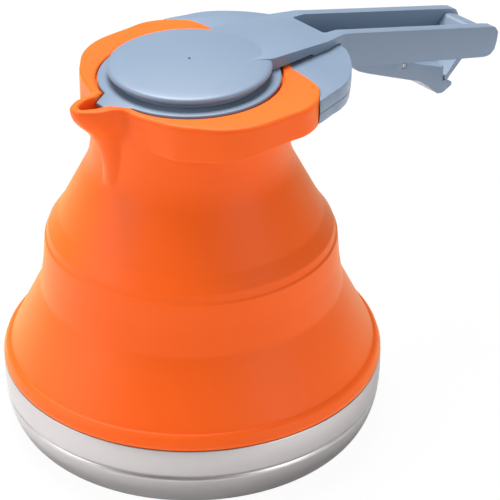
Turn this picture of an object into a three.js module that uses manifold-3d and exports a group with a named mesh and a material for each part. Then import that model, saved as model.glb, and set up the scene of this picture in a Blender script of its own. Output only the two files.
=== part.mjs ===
// Collapsible kettle: a folding silicone body on a steel base pan, with a clip-on lid whose long
// loop handle nests over a fixed lower arm. Millimetres, +Z up. The origin is the centre of the
// underside of the pan. The handle points along +X and the spout along -X.

import * as THREE from 'three';
import { mergeVertices } from 'three/addons/utils/BufferGeometryUtils.js';
import Module from 'manifold-3d';

const wasm = await Module();
wasm.setup();

// Fits shared by all pieces

const clearance = 0.3;
const lidClearance = 0.9;
const cutOverrun = 5;
const turns = 40;
const screwFacets = 10;
const bossFacets = 14;

// Base pan, pressed from sheet steel

const baseRadius = 78.5;
const panHeight = 28.8;
const panFlat = 70.2;
const panCorner = 20.7;
const sheet = 0.8;
const beadDrop = 2.8;
const beadDepth = 0.7;
const beadHalfHeight = 0.9;

// Ring that holds the silicone's foot inside the pan

const footHeight = 10.8;
const footThickness = 2.4;
const retainerSheet = 0.8;
const retainerHeight = 11;

// Silicone body, stacked upwards from the pan's edge and stepped inwards from its radius

const seamGap = 0.5;
const rimHeight = 3.9;
const rimStep = 4.8;
const lowerFoldHeight = 27.2;
const lowerFoldStep = 11.9;
const middleHeight = 33;
const middleStep = 8.3;
const upperFoldHeight = 23.3;
const upperFoldStep = 12.2;
const neckHeight = 24.3;
const neckStep = 0.9;
const skirtHeight = 11.5;
const bandWall = 2.4;
const foldWall = 1.8;
const shoulderHeight = 9.8;
const shoulderStep = 5.2;

// Mouth, lid seat and spout, as steps from the neck's outside

const mouthStep = 3.6;
const seatStep = 1.8;
const seatHeight = 4.4;
const seatDepth = 2.2;
const spoutOverhang = 17;
const spoutWall = 3.4;
const spoutRise = 3;
const spoutHalfAngle = 10;
const keelHalfAngle = 7;
const channelHalfAngle = 6.5;
const armEndAngle = 150;
const flangeOverhang = 13.5;
const skirtWall = 2.6;
const flangeThickness = 3.6;
const edgeRound = 1.6;

// Collar yoke, in two halves screwed together round the neck

const yokeDrop = 0.5;
const yokeHeight = 8.4;
const yokeSplit = 3;
const yokeLength = 24.4;
const yokeWidening = 8;
const yokeBevel = 1.2;
const armMinWidth = 2.4;
const lugLength = 7.5;
const lugRoot = 6;
const lugHalfWidth = 8.8;
const sideScrewAngle = 106;

// Lid

const flangeShow = 3.3;
const lidTabLength = 6.6;
const lidTabHalfWidth = 3.9;
const lidTabRootHalfWidth = 8.5;
const flangeProud = 0.5;
const capHeight = 6.6;
const capWall = 2.2;
const capEdge = 2.4;
const plugStep = 2.6;
const plugDepth = 4.3;
const plugLip = 0.8;
const gasketProud = 1.7;
const gasketHeight = 1.8;
const ventRadius = 0.6;

// Lid handle: behind the kink its rails slope down by railPitch degrees

const kinkSetback = 3.1;
const tongueRise = 2.7;
const tongueSlope = 2;
const tongueHalfWidth = 14.5;
const tongueFlare = 2.8;
const tongueTaper = 11;
const tongueLap = 9;
const tongueThickening = 16.7;
const railSetback = 0.6;
const railPitch = 14.7;
const railLength = 95.9;
const railDepth = 14;
const railHalfGap = 9.75;
const slotLap = 3.4;
const webSheet = 2.2;
const webTopLength = 5.6;
const hingeBead = 1.3;

// Lower arm and the pin that holds it to the collar's tang

const armHalfWidth = 9.2;
const armWall = 2.4;
const pinRadius = 1.2;
const pinFit = 0.15;
const pinProud = 0.25;

// Screws

const screwCover = 1.2;
const yokeScrew = { shank: 1.2, head: 2.4, headHeight: 1.6 };
const lidScrew = { shank: 1.2, head: 2.5, headHeight: 1.3, bossWall: 1.9 };

// Outlines. Along and drop are shares of railLength and railDepth, from the kink down the rails

const railShares = [
  [-0.011, 0.41], [-0.037, 0.155], [0, 0], [0.914, 0], [0.959, 0.137], [0.99, 0.35], [1, 0.6],
  [0.992, 0.78], [0.971, 0.914], [0.93, 0.975], [0.073, 1.06],
];
const armTopShares = [[0.086, 0.857], [0.44, 1.07], [0.584, 1.25], [0.724, 1.371]];
const armBottomShares = [
  [0.816, 1.87], [0.821, 1.98], [0.8, 2.093], [0.774, 2.229], [0.742, 2.25], [0.687, 2.05],
  [0.604, 1.793], [0.543, 1.743], [0.41, 1.6], [0.259, 1.436], [0.2, 1.35], [0.134, 1.13], [0.094, 1.057],
];
const channelFloorShares = [
  [0.13, 0.964], [0.2, 1.186], [0.259, 1.271], [0.41, 1.436], [0.52, 1.536], [0.584, 1.6],
];
const tangTopShares = [[0.117, 0.8], [0.386, 1.057], [0.505, 1.12]];
const hingeShares = [0.7675, 1.693];
const pinShares = [0.482, 1.271];
const webTopShares = [0.901, 0.157];

// The yoke's outer edge, in shares of yokeReach and yokeHalfWidth, and the line where the flange
// meets the yoke, in shares of neckRadius

const yokeShares = [
  [0.38, 1], [0.448, 0.977], [0.532, 0.946], [0.617, 0.917], [0.716, 0.851], [0.818, 0.736],
  [0.88, 0.643], [0.946, 0.514], [0.986, 0.397], [0.997, 0.207],
];
const borderShares = [
  [0.856, 0.594], [0.847, 0.718], [0.829, 0.851], [0.802, 0.965], [0.728, 1.077], [0.624, 1.183],
  [0.532, 1.287],
];
const lugShares = [[0, 1], [0.55, 1], [0.8, 0.8], [0.96, 0.42], [1, 0.12]];
const panCornerShares = [0, 0.22, 0.44, 0.64];
const capShoulderShares = [[0.9, 1.02], [0.965, 0.97], [1, 0.83], [0.995, 0.66], [0.962, 0.6], [0.962, 0]];
const crownShares = [0, 0.4, 0.7];
const crownDropShare = 0.8;
const rearScrewShares = [0.708, 0.54];
const lidScrewShare = 0.63;
const shoulderShares = [[0.31, 0.265], [0.635, 0.53]];

// Radii that follow from the steps

const rimCreaseRadius = baseRadius - rimStep;
const middleBottomRadius = rimCreaseRadius - lowerFoldStep;
const middleTopRadius = middleBottomRadius - middleStep;
const neckBottomRadius = middleTopRadius - upperFoldStep;
const neckRadius = neckBottomRadius - neckStep;
const mouthRadius = neckRadius - mouthStep;
const seatRadius = mouthRadius - seatStep;
const spoutReach = neckRadius + spoutOverhang;
const flangeReach = neckRadius + flangeOverhang;
const yokeReach = neckRadius + yokeLength;
const yokeHalfWidth = neckRadius + yokeWidening;
const lugReach = yokeReach + lugLength;
const lidFlangeRadius = mouthRadius - lidClearance;
const lidTabReach = lidFlangeRadius + lidTabLength;
const lidRadius = lidFlangeRadius - flangeShow;
const plugRadius = seatRadius - plugStep;
const gasketRadius = plugRadius + gasketProud;
const lidScrewRing = lidRadius * lidScrewShare;
const kinkReach = yokeReach + kinkSetback;
const railFront = yokeReach + railSetback;
const slotFront = yokeReach - slotLap;
const tongueRoot = lidRadius - tongueLap;
const tongueStep = yokeReach - tongueThickening;

// Heights that follow from the stack

const rimBottom = panHeight + seamGap;
const footBottom = rimBottom - footHeight;
const beadHeight = footBottom - beadDrop;
const rimTop = rimBottom + rimHeight;
const middleBottom = rimTop + lowerFoldHeight;
const middleTop = middleBottom + middleHeight;
const neckBottom = middleTop + upperFoldHeight;
const skirtBottom = neckBottom + neckHeight;
const flangeTop = skirtBottom + skirtHeight;
const seatTop = flangeTop - seatDepth;
const yokeTop = flangeTop - yokeDrop;
const yokeBottom = yokeTop - yokeHeight;
const splitHeight = yokeBottom + yokeSplit;
const pocketTop = flangeTop - flangeThickness;
const armTop = pocketTop - clearance;
const plateBottom = seatTop + 2 * clearance;
const plateTop = flangeTop + flangeProud;
const capBottom = plateTop + clearance;
const capTop = capBottom + capHeight;
const capEdgeTop = capTop - capEdge;
const kinkHeight = flangeTop + tongueRise;

// Materials

const steel = new THREE.MeshStandardMaterial({ color: 0xc9c8c4, roughness: 0.32, metalness: 1 });
const silicone = new THREE.MeshStandardMaterial({ color: 0xf0641e, roughness: 0.55, metalness: 0 });
const plastic = new THREE.MeshStandardMaterial({ color: 0x8b9fb8, roughness: 0.45, metalness: 0 });
const seal = new THREE.MeshStandardMaterial({ color: 0xd8d8d4, roughness: 0.6, metalness: 0 });

// Solids

function toSolid(geometry) {
  const bare = geometry.clone();
  bare.deleteAttribute('normal');
  bare.deleteAttribute('uv');
  const merged = mergeVertices(bare, clearance / 1000);
  return new wasm.Manifold(new wasm.Mesh({
    numProp: 3,
    vertProperties: new Float32Array(merged.attributes.position.array),
    triVerts: new Uint32Array(merged.index.array),
  }));
}

function toGeometry(solid) {
  const mesh = solid.getMesh();
  const geometry = new THREE.BufferGeometry();
  geometry.setAttribute('position', new THREE.BufferAttribute(mesh.vertProperties, 3));
  geometry.setIndex(new THREE.BufferAttribute(mesh.triVerts, 1));
  geometry.computeVertexNormals();
  return geometry;
}

function signedArea(points) {
  return points.reduce((sum, [x, y], i) => {
    const [nextX, nextY] = points[(i + 1) % points.length];
    return sum + (x * nextY - nextX * y) / 2;
  }, 0);
}

// Revolve a profile of [radius, height] points about Z. A closed ring repeats its first point.
function revolve(points, segments = turns) {
  const onAxis = points[0][0] === 0 && points[points.length - 1][0] === 0;
  const ordered = signedArea(points) > 0 ? points : [...points].reverse();
  const loop = onAxis ? ordered : [...ordered, ordered[0]];
  const lathe = new THREE.LatheGeometry(loop.map(([r, z]) => new THREE.Vector2(r, z)), segments);
  lathe.rotateX(Math.PI / 2);
  return toSolid(lathe);
}

function shapeOf(points) {
  return new THREE.Shape(points.map(([x, y]) => new THREE.Vector2(x, y)));
}

// Extrude a plan outline of [x, y] points from one height to another
function slab(points, bottom, top) {
  const block = new THREE.ExtrudeGeometry(shapeOf(points), { depth: top - bottom, bevelEnabled: false });
  block.translate(0, 0, bottom);
  return toSolid(block);
}

// Extrude a side outline of [x, z] points to both sides of the middle plane
function sidePlate(points, halfWidth) {
  const block = new THREE.ExtrudeGeometry(shapeOf(points), { depth: 2 * halfWidth, bevelEnabled: false });
  block.rotateX(Math.PI / 2);
  block.translate(0, halfWidth, 0);
  return toSolid(block);
}

function upright(radius, bottom, top, x = 0, y = 0, segments = 16) {
  const rod = new THREE.CylinderGeometry(radius, radius, top - bottom, segments);
  rod.rotateX(Math.PI / 2);
  rod.translate(x, y, (bottom + top) / 2);
  return toSolid(rod);
}

function hub(radius, bottom, top) {
  return upright(radius, bottom, top, 0, 0, turns);
}

function crosswise(radius, halfLength, x, z, segments = 16) {
  const rod = new THREE.CylinderGeometry(radius, radius, 2 * halfLength, segments);
  rod.translate(x, 0, z);
  return toSolid(rod);
}

function mirrored(half) {
  return [...half, ...half.map(([x, y]) => [x, -y]).reverse()];
}

// Value at x on the smooth curve through a table of [x, value] pairs
function interpolate(table, x) {
  const last = table.length - 1;
  if (x <= table[0][0]) return table[0][1];
  if (x >= table[last][0]) return table[last][1];
  const i = table.findIndex(([key]) => key > x) - 1;
  const [x0, y0] = table[i];
  const [x1, y1] = table[i + 1];
  const slopeAt = (k) => {
    const before = table[Math.max(k - 1, 0)];
    const after = table[Math.min(k + 1, last)];
    return (after[1] - before[1]) / (after[0] - before[0]);
  };
  const t = (x - x0) / (x1 - x0);
  const span = x1 - x0;
  return y0 * (1 + 2 * t) * (1 - t) ** 2 + y1 * t ** 2 * (3 - 2 * t)
    + span * slopeAt(i) * t * (1 - t) ** 2 + span * slopeAt(i + 1) * t ** 2 * (t - 1);
}

// Base pan

// Radius of the pan at a height below its straight wall, for a surface offset inwards
function panRadius(height, offset) {
  const drop = (panCorner - height) / (panCorner - offset);
  return panFlat + (baseRadius - offset - panFlat) * Math.sqrt(Math.max(0, 1 - drop ** 2));
}

function panSurface(offset) {
  const corner = panCornerShares.map((share) => {
    const height = panCorner - (panCorner - offset) * Math.cos(share * Math.PI / 2);
    return [panRadius(height, offset), height];
  });
  const bead = [
    [panRadius(beadHeight - beadHalfHeight, offset), beadHeight - beadHalfHeight],
    [panRadius(beadHeight, offset) - beadDepth, beadHeight],
    [panRadius(beadHeight + beadHalfHeight, offset), beadHeight + beadHalfHeight],
  ];
  return [[0, offset], ...corner, ...bead, [baseRadius - offset, panCorner], [baseRadius - offset, panHeight]];
}

function basePan() {
  return revolve([...panSurface(0), ...panSurface(sheet).reverse()]);
}

const footOuter = baseRadius - sheet - clearance;
const footInner = footOuter - footThickness;

// Room inside the pan at a height
function footReach(height) {
  return height < panCorner ? Math.min(footOuter, panRadius(height, sheet) - clearance) : footOuter;
}

function panRetainingRing() {
  const outer = footInner - clearance;
  const inner = outer - retainerSheet;
  const lipTop = footBottom - clearance;
  const lipBottom = lipTop - retainerSheet;
  return revolve([
    [inner, lipBottom],
    [footReach(lipBottom), lipBottom],
    [footReach(lipBottom), lipTop],
    [outer, lipTop],
    [outer, lipBottom + retainerHeight],
    [inner, lipBottom + retainerHeight],
  ]);
}

// Folding body

function bodyRimBand() {
  const inner = rimCreaseRadius - foldWall;
  const roundSteps = 3;
  const shoulder = Array.from({ length: roundSteps + 1 }, (_, i) => {
    const angle = i / roundSteps * Math.PI / 2;
    const reach = baseRadius - rimCreaseRadius;
    return [rimCreaseRadius + reach * Math.cos(angle), rimBottom + rimHeight * Math.sin(angle)];
  });
  return revolve([
    [footReach(footBottom), footBottom],
    [footOuter, rimBottom],
    ...shoulder,
    [inner, rimTop],
    [inner, rimBottom + rimHeight / 3],
    [footInner, rimBottom - seamGap],
    [footInner, footBottom],
  ]);
}

// Conical wall between two [radius, height] ends
function bodyFold(lower, upper) {
  return revolve([lower, upper, [upper[0] - foldWall, upper[1]], [lower[0] - foldWall, lower[1]]]);
}

function bodyMiddleBand() {
  const shoulderBottom = middleTop - shoulderHeight;
  const shoulderRadius = middleTopRadius + shoulderStep;
  const shoulder = shoulderShares.map(([inwards, up]) => [
    shoulderRadius - shoulderStep * inwards,
    shoulderBottom + shoulderHeight * up,
  ]);
  const outside = [
    [middleBottomRadius, middleBottom],
    [shoulderRadius, shoulderBottom],
    ...shoulder,
    [middleTopRadius, middleTop],
  ];
  const inside = outside.map(([r, z]) => [r - bandWall, z]).reverse();
  return revolve([...outside, ...inside]);
}

// Neck, spout and flange

// Neck: share of neckHeight, and share of neckStep added to neckRadius
const neckShares = [[0, 1], [0.16, -0.06], [0.34, -0.9], [0.55, -1.3], [0.78, -1.35], [1, -1.2]];
// Outline of the flange seen from above: degrees from the spout, share of flangeOverhang
const flangeShares = [
  [0, 0], [26, 0], [33, 0.05], [37.5, 0.11], [42, 0.18], [48, 0.26], [56, 0.36], [66, 0.56], [75, 0.68],
  [83, 0.733], [90, 0.745], [99, 0.81], [107, 0.96], [115, 1], [121, 0.97], [128, 0.88], [136, 0.78],
  [180, 0.7],
];
// How much of the skirt's depth its foot takes to reach the flange: degrees from the spout, share
const skirtFadeShares = [[0, 1], [26, 1], [42, 0]];
// How the spout's keel leaves the neck: share of the height from neckBottom to the lip, share of its reach
const keelShares = [
  [0, 0], [0.1, 0.02], [0.2, 0.06], [0.34, 0.16], [0.5, 0.28], [0.64, 0.43], [0.74, 0.57], [0.83, 0.74],
  [0.9, 0.89], [0.95, 0.98], [1, 1],
];
// How the spout fades to its sides: share of its half angle, share of its reach
const beakShares = [
  [0, 1], [0.3, 0.955], [0.58, 0.783], [0.78, 0.64], [0.9, 0.478], [1.02, 0.3], [1.2, 0.16], [1.36, 0.076],
  [1.77, 0.012], [2.2, 0],
];
// How the rim rises towards the spout: degrees from the spout, share of spoutRise
const riseShares = [[0, 1], [8, 1], [14, 0.9], [22, 0.73], [28, 0.55], [37, 0.28], [47, 0]];
const loftAngles = [
  0, 1.7, 3.5, 5.3, 7, 8.8, 11, 14, 18, 23, 29, 36, 43, 50, 58, 67, 77, 88, 99, 107, 112.5, 118, 123, 128,
  134, 144, 156, 168, 180,
];
const tabCornerAngle = THREE.MathUtils.radToDeg(Math.atan2(lidTabHalfWidth, lidTabReach));
const tabRootAngle = THREE.MathUtils.radToDeg(Math.asin(lidTabRootHalfWidth / lidFlangeRadius));
const lidAngles = [0, tabCornerAngle, tabRootAngle, 24, 36, 46, 56, 66, 76, 86, 96, 106, 116, 126, 136, 146, 156, 166, 176];

function flangeRadius(angle) {
  return neckRadius + flangeOverhang * interpolate(flangeShares, angle);
}

// Angles at which the skirt stands far enough off the neck for the yoke's arms to fit between
const armAngles = loftAngles.filter((angle) => angle < armEndAngle
  && flangeRadius(angle) - skirtWall - neckRadius > armMinWidth);

function beak(angle, halfAngle) {
  return interpolate(beakShares, angle / halfAngle);
}

function neckOutside(height) {
  return neckRadius + neckStep * interpolate(neckShares, (height - neckBottom) / neckHeight);
}

// Outside of the skirt; towards the spout it leaves the neck gently instead of with a ledge
function skirtOutside(angle, height) {
  const up = THREE.MathUtils.clamp((height - skirtBottom) / skirtHeight, 0, 1);
  const spread = 1 - interpolate(skirtFadeShares, angle) * (1 - up);
  return neckOutside(height) + (flangeRadius(angle) - neckOutside(height)) * spread;
}

function keelReach(height) {
  const share = (height - neckBottom) / (flangeTop - neckBottom);
  return (spoutReach - neckRadius) * interpolate(keelShares, share);
}

function keelAngle(height) {
  const share = THREE.MathUtils.clamp((height - neckBottom) / (skirtBottom - neckBottom), 0, 1);
  return keelHalfAngle + (spoutHalfAngle - keelHalfAngle) * share;
}

// Distance from the axis to the edge of the lid's plate, which runs out to a blunt tab
function lidEdge(angle) {
  if (angle > tabRootAngle) return lidFlangeRadius;
  const turn = THREE.MathUtils.degToRad(angle);
  if (angle < tabCornerAngle) return lidTabReach / Math.cos(turn);
  const rootAlong = lidFlangeRadius * Math.cos(THREE.MathUtils.degToRad(tabRootAngle));
  const runAlong = rootAlong - lidTabReach;
  const runAcross = lidTabRootHalfWidth - lidTabHalfWidth;
  return (lidTabReach * runAcross - lidTabHalfWidth * runAlong)
    / (Math.cos(turn) * runAcross - Math.sin(turn) * runAlong);
}

function lipRise(angle) {
  return spoutRise * interpolate(riseShares, angle);
}

// One ring of the neck's loft: radius and height for a given angle from the spout
function outerRing(height, atFlange, inset) {
  return (angle) => {
    const base = atFlange ? skirtOutside(angle, height) : neckOutside(height);
    const spout = neckOutside(height) + keelReach(height) * beak(angle, keelAngle(height));
    const rise = lipRise(angle) * Math.max(0, height - skirtBottom) / skirtHeight;
    return [Math.max(base, spout) - inset, height + rise];
  };
}

function innerRing(height, base, withLid) {
  return (angle) => {
    const outside = neckOutside(height) + keelReach(height) - spoutWall;
    const channel = base + Math.max(0, outside - base) * beak(angle, channelHalfAngle);
    const plate = withLid ? lidEdge(angle) + lidClearance : 0;
    const rise = height < flangeTop ? 0 : lipRise(angle);
    return [Math.max(base, channel, plate), height + rise];
  };
}

// Close a stack of rings, each a function of the angle from the spout, into one solid
function polarLoft(rings) {
  const sweep = [...loftAngles, ...loftAngles.slice(1, -1).reverse().map((angle) => -angle)];
  const positions = [];
  for (const ring of rings) {
    for (const angle of sweep) {
      const [radius, height] = ring(Math.abs(angle));
      const turn = Math.PI + THREE.MathUtils.degToRad(angle);
      positions.push(radius * Math.cos(turn), radius * Math.sin(turn), height);
    }
  }
  const index = [];
  const count = sweep.length;
  for (let level = 0; level < rings.length; level += 1) {
    const above = (level + 1) % rings.length;
    for (let i = 0; i < count; i += 1) {
      const next = (i + 1) % count;
      index.push(level * count + i, level * count + next, above * count + next);
      index.push(level * count + i, above * count + next, above * count + i);
    }
  }
  const geometry = new THREE.BufferGeometry();
  geometry.setAttribute('position', new THREE.Float32BufferAttribute(positions, 3));
  geometry.setIndex(index);
  return toSolid(geometry);
}

// Plan outline from a radius function over the angles that it spans, mirrored about the middle plane
function polarOutline(radiusAt, angles) {
  const half = angles.map((angle) => {
    const turn = Math.PI - THREE.MathUtils.degToRad(angle);
    return [radiusAt(angle) * Math.cos(turn), radiusAt(angle) * Math.sin(turn)];
  });
  return mirrored(half);
}

function bodyNeck() {
  const ledge = clearance;
  const neckHeights = neckShares.slice(0, -1).map(([up]) => neckBottom + neckHeight * up);
  const rings = [
    ...neckHeights.map((height) => outerRing(height, false, 0)),
    outerRing(skirtBottom - ledge, false, 0),
    outerRing(skirtBottom + ledge, true, 0),
    outerRing((skirtBottom + flangeTop) / 2, true, 0),
    outerRing(flangeTop - edgeRound, true, 0),
    outerRing(flangeTop - edgeRound / 3, true, edgeRound / 3),
    outerRing(flangeTop, true, edgeRound),
    innerRing(flangeTop, mouthRadius, true),
    innerRing(seatTop + ledge, mouthRadius, true),
    innerRing(seatTop - ledge, seatRadius, false),
    innerRing(seatTop - seatHeight, seatRadius, false),
    innerRing(seatTop - seatHeight - seatHeight / 2, neckRadius - bandWall, false),
    ...neckHeights.reverse().map((height) => innerRing(height, neckOutside(height) - bandWall, false)),
  ];
  const neckHub = hub(neckRadius, skirtBottom - cutOverrun, flangeTop + cutOverrun);
  const pocket = slab(
    polarOutline((angle) => flangeRadius(angle) - skirtWall, armAngles),
    skirtBottom - cutOverrun,
    pocketTop,
  ).subtract(neckHub).subtract(frontBlock(armAngles[0]));
  const yokeRoom = behindBorder(clearance, skirtBottom - clearance).subtract(neckHub);
  return polarLoft(rings).subtract(pocket).subtract(yokeRoom);
}

// Everything behind the line where the flange meets the yoke, moved forwards by a gap
function behindBorder(gap, bottom) {
  const far = 2 * flangeReach;
  const line = borderShares.map(([along, across]) => [neckRadius * along - gap, neckRadius * across]);
  const outline = [[far, far], [line[line.length - 1][0], far], ...line.reverse()];
  return slab(mirrored(outline), bottom, flangeTop + cutOverrun);
}

// Wedge in front of the yoke's two arms, where the spout is
function frontBlock(angle) {
  const reach = 2 * flangeReach;
  const turn = THREE.MathUtils.degToRad(angle);
  const corner = [-reach * Math.cos(turn), reach * Math.sin(turn)];
  return slab(
    [[0, 0], corner, [-reach, 0], [corner[0], -corner[1]]],
    skirtBottom - 2 * cutOverrun,
    flangeTop + 2 * cutOverrun,
  );
}

// Point at a distance along the rails and below their top line, both from the kink
function alongRail(along, drop) {
  const pitch = THREE.MathUtils.degToRad(railPitch);
  return [
    kinkReach + along * Math.cos(pitch) - drop * Math.sin(pitch),
    kinkHeight - along * Math.sin(pitch) - drop * Math.cos(pitch),
  ];
}

function railShare([along, drop]) {
  return alongRail(along * railLength, drop * railDepth);
}

// Collar yoke

// The yoke's two arms lie round the neck, inside the flange's skirt
function yokeArms(bottom, top) {
  const outline = polarOutline((angle) => flangeRadius(angle) - skirtWall - clearance, armAngles);
  const neckRoom = hub(neckRadius + clearance, bottom - cutOverrun, top + cutOverrun);
  return slab(outline, bottom, top).subtract(neckRoom).subtract(frontBlock(armAngles[1]));
}

function yokeOutline(inset) {
  return mirrored(yokeShares.map(([along, across]) => [
    (yokeReach - inset) * along,
    (yokeHalfWidth - inset) * across,
  ]));
}

function lugOutline() {
  return mirrored(lugShares.map(([along, across]) => [
    yokeReach - lugRoot + (lugReach + lugRoot - yokeReach) * along,
    lugHalfWidth * across,
  ]));
}

function yokeScrewPlaces() {
  const rearX = yokeReach * rearScrewShares[0];
  const rearY = yokeHalfWidth * rearScrewShares[1];
  const sideRadius = (flangeRadius(sideScrewAngle) - skirtWall + neckRadius) / 2;
  const sideTurn = THREE.MathUtils.degToRad(sideScrewAngle);
  const sideX = -sideRadius * Math.cos(sideTurn);
  const sideY = sideRadius * Math.sin(sideTurn);
  return [
    [rearX, rearY, yokeTop - screwCover],
    [rearX, -rearY, yokeTop - screwCover],
    [sideX, sideY, armTop - screwCover],
    [sideX, -sideY, armTop - screwCover],
  ];
}

// Tang: runs down the lower arm's channel from the lug
function tang() {
  const outline = [
    [yokeReach, yokeTop - lugRoot],
    ...tangTopShares.map(railShare),
    ...channelFloorShares.slice(0, -1).reverse().map(railShare).map(([x, z]) => [x, z + clearance]),
    [yokeReach, yokeBottom],
  ];
  return sidePlate(outline, armHalfWidth - armWall - clearance);
}

function collarCover() {
  const bottom = splitHeight + clearance / 2;
  const shell = slab(yokeOutline(0), bottom, yokeTop - yokeBevel)
    .add(slab(yokeOutline(yokeBevel), yokeTop - yokeBevel, yokeTop))
    .intersect(behindBorder(0, yokeBottom - cutOverrun));
  const lug = slab(lugOutline(), yokeBottom, yokeTop);
  const throat = hub(neckRadius + clearance, yokeBottom - cutOverrun, yokeTop + cutOverrun);
  const [pinX, pinZ] = railShare(pinShares);
  const pinHole = crosswise(pinRadius + clearance, armHalfWidth, pinX, pinZ);
  const body = shell.add(yokeArms(bottom, armTop)).add(lug).add(tang());
  const bored = body.subtract(throat).subtract(pinHole);
  return yokeScrewPlaces().reduce((solid, [x, y, top]) => solid.subtract(
    upright(yokeScrew.shank + clearance, yokeBottom - cutOverrun, top + clearance, x, y, screwFacets),
  ), bored);
}

function collarLowerRing() {
  const top = splitHeight - clearance / 2;
  const shell = slab(yokeOutline(0), yokeBottom, top).intersect(behindBorder(0, yokeBottom - cutOverrun));
  const body = shell.add(yokeArms(yokeBottom, top));
  const throat = hub(neckRadius + clearance, yokeBottom - cutOverrun, top + cutOverrun);
  const lugRoom = slab(
    lugOutline().map(([x, y]) => [x - clearance, y + Math.sign(y) * clearance]),
    yokeBottom - cutOverrun,
    top + cutOverrun,
  );
  const clamp = body.subtract(throat).subtract(lugRoom);
  return yokeScrewPlaces().reduce((solid, [x, y]) => solid
    .subtract(upright(yokeScrew.shank + clearance, yokeBottom - cutOverrun, top + cutOverrun, x, y, screwFacets))
    .subtract(upright(
      yokeScrew.head + clearance,
      yokeBottom - cutOverrun,
      yokeBottom + yokeScrew.headHeight + clearance,
      x,
      y,
      screwFacets,
    )), clamp);
}

function collarScrew([x, y, top]) {
  const headTop = yokeBottom + yokeScrew.headHeight;
  const shank = upright(yokeScrew.shank, headTop - clearance, top, x, y, screwFacets);
  return upright(yokeScrew.head, yokeBottom, headTop, x, y, screwFacets).add(shank);
}

// Lower arm

function handleArm() {
  const [hingeX, hingeZ] = railShare(hingeShares);
  const shoulder = railShare(armTopShares[armTopShares.length - 1]);
  const room = hingeBead + clearance;
  const seat = [
    [hingeX - room, shoulder[1]],
    [hingeX - room, hingeZ - room],
    [hingeX + clearance, hingeZ - room],
  ];
  const outline = [...armTopShares.map(railShare), ...seat, ...armBottomShares.map(railShare)];
  const floor = channelFloorShares.map(railShare);
  const floorFront = floor[0];
  const floorRear = floor[floor.length - 1];
  const channel = [
    [floorFront[0] - cutOverrun, floorFront[1]],
    ...floor,
    [floorRear[0], floorRear[1] + railDepth],
    [floorFront[0] - cutOverrun, floorFront[1] + railDepth],
  ];
  const [pinX, pinZ] = railShare(pinShares);
  return sidePlate(outline, armHalfWidth)
    .subtract(sidePlate(channel, armHalfWidth - armWall))
    .subtract(crosswise(pinRadius + pinFit, armHalfWidth + cutOverrun, pinX, pinZ));
}

function armCrossPin() {
  const [pinX, pinZ] = railShare(pinShares);
  return crosswise(pinRadius, armHalfWidth + pinProud, pinX, pinZ);
}

// Lid

function lidCap() {
  const top = (share) => [
    lidRadius * share,
    capTop - (capTop - capEdgeTop) * share ** 2 * crownDropShare,
  ];
  const shoulder = capShoulderShares.map(([across, up]) => [
    lidRadius * across,
    capBottom + (capEdgeTop - capBottom) * up,
  ]);
  const crown = crownShares.map(top);
  const inside = crown.map(([r, z]) => [r, z - capWall]).reverse();
  const wallInside = shoulder[shoulder.length - 1][0] - capWall;
  return revolve([
    ...crown,
    ...shoulder,
    [wallInside, capBottom],
    [wallInside, capEdgeTop - capWall],
    ...inside,
  ]);
}

function lidScrewPlaces() {
  return [0, 1, 2].map((i) => {
    const turn = i / 3 * 2 * Math.PI;
    return [lidScrewRing * Math.cos(turn), lidScrewRing * Math.sin(turn)];
  });
}

const bossTop = capTop - (capTop - capEdgeTop) * crownDropShare * (lidScrewRing / lidRadius) ** 2
  - capWall / 2;
const lidScrewTop = bossTop - capWall;

// Flat tongue from the cap to the rails, thicker where it rests over the collar
function tongue() {
  const thin = capBottom;
  const thick = yokeTop + clearance;
  const side = [
    [tongueRoot, thin],
    [tongueStep, thin],
    [tongueStep + thin - thick, thick],
    [railFront, thick],
    [kinkReach, kinkHeight],
    [lidRadius, kinkHeight + tongueSlope],
    [tongueRoot, kinkHeight + tongueSlope],
  ];
  const plan = mirrored([
    [tongueRoot, tongueHalfWidth + tongueFlare],
    [kinkReach - tongueTaper, tongueHalfWidth + tongueFlare],
    [kinkReach, tongueHalfWidth],
  ]);
  return sidePlate(side, tongueHalfWidth + tongueFlare)
    .intersect(slab(plan, yokeTop, kinkHeight + tongueSlope + cutOverrun));
}

// The two rails: a bar as wide as the tongue, split by the long slot
function rails() {
  const outline = railShares.map(railShare);
  const [slotRearX, slotRearZ] = alongRail(railLength + cutOverrun, 0);
  const slot = slab(
    [
      [slotFront, -railHalfGap],
      [slotRearX, -railHalfGap],
      [slotRearX, railHalfGap],
      [slotFront, railHalfGap],
    ],
    slotRearZ - 2 * railDepth,
    kinkHeight + cutOverrun,
  );
  return { bar: sidePlate(outline, tongueHalfWidth), slot };
}

// Bent web between the rails: its beaded lower edge sits in the arm's hook
function web() {
  const [hingeX, hingeZ] = railShare(hingeShares);
  const [topX, topZ] = railShare(webTopShares);
  const [topStart, topInset] = [webTopShares[0] * railLength, webTopShares[1] * railDepth];
  const run = Math.hypot(topX - hingeX, topZ - hingeZ);
  const across = [(topZ - hingeZ) / run * webSheet / 2, -(topX - hingeX) / run * webSheet / 2];
  const plate = [
    [hingeX - across[0], hingeZ - across[1]],
    [topX - across[0], topZ - across[1]],
    alongRail(topStart + webTopLength, topInset),
    alongRail(topStart + webTopLength, topInset + webSheet),
    alongRail(topStart + webSheet, topInset + webSheet),
    [hingeX + across[0], hingeZ + across[1]],
  ];
  const halfWidth = railHalfGap + clearance;
  return sidePlate(plate, halfWidth).add(crosswise(hingeBead, halfWidth, hingeX, hingeZ));
}

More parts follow.
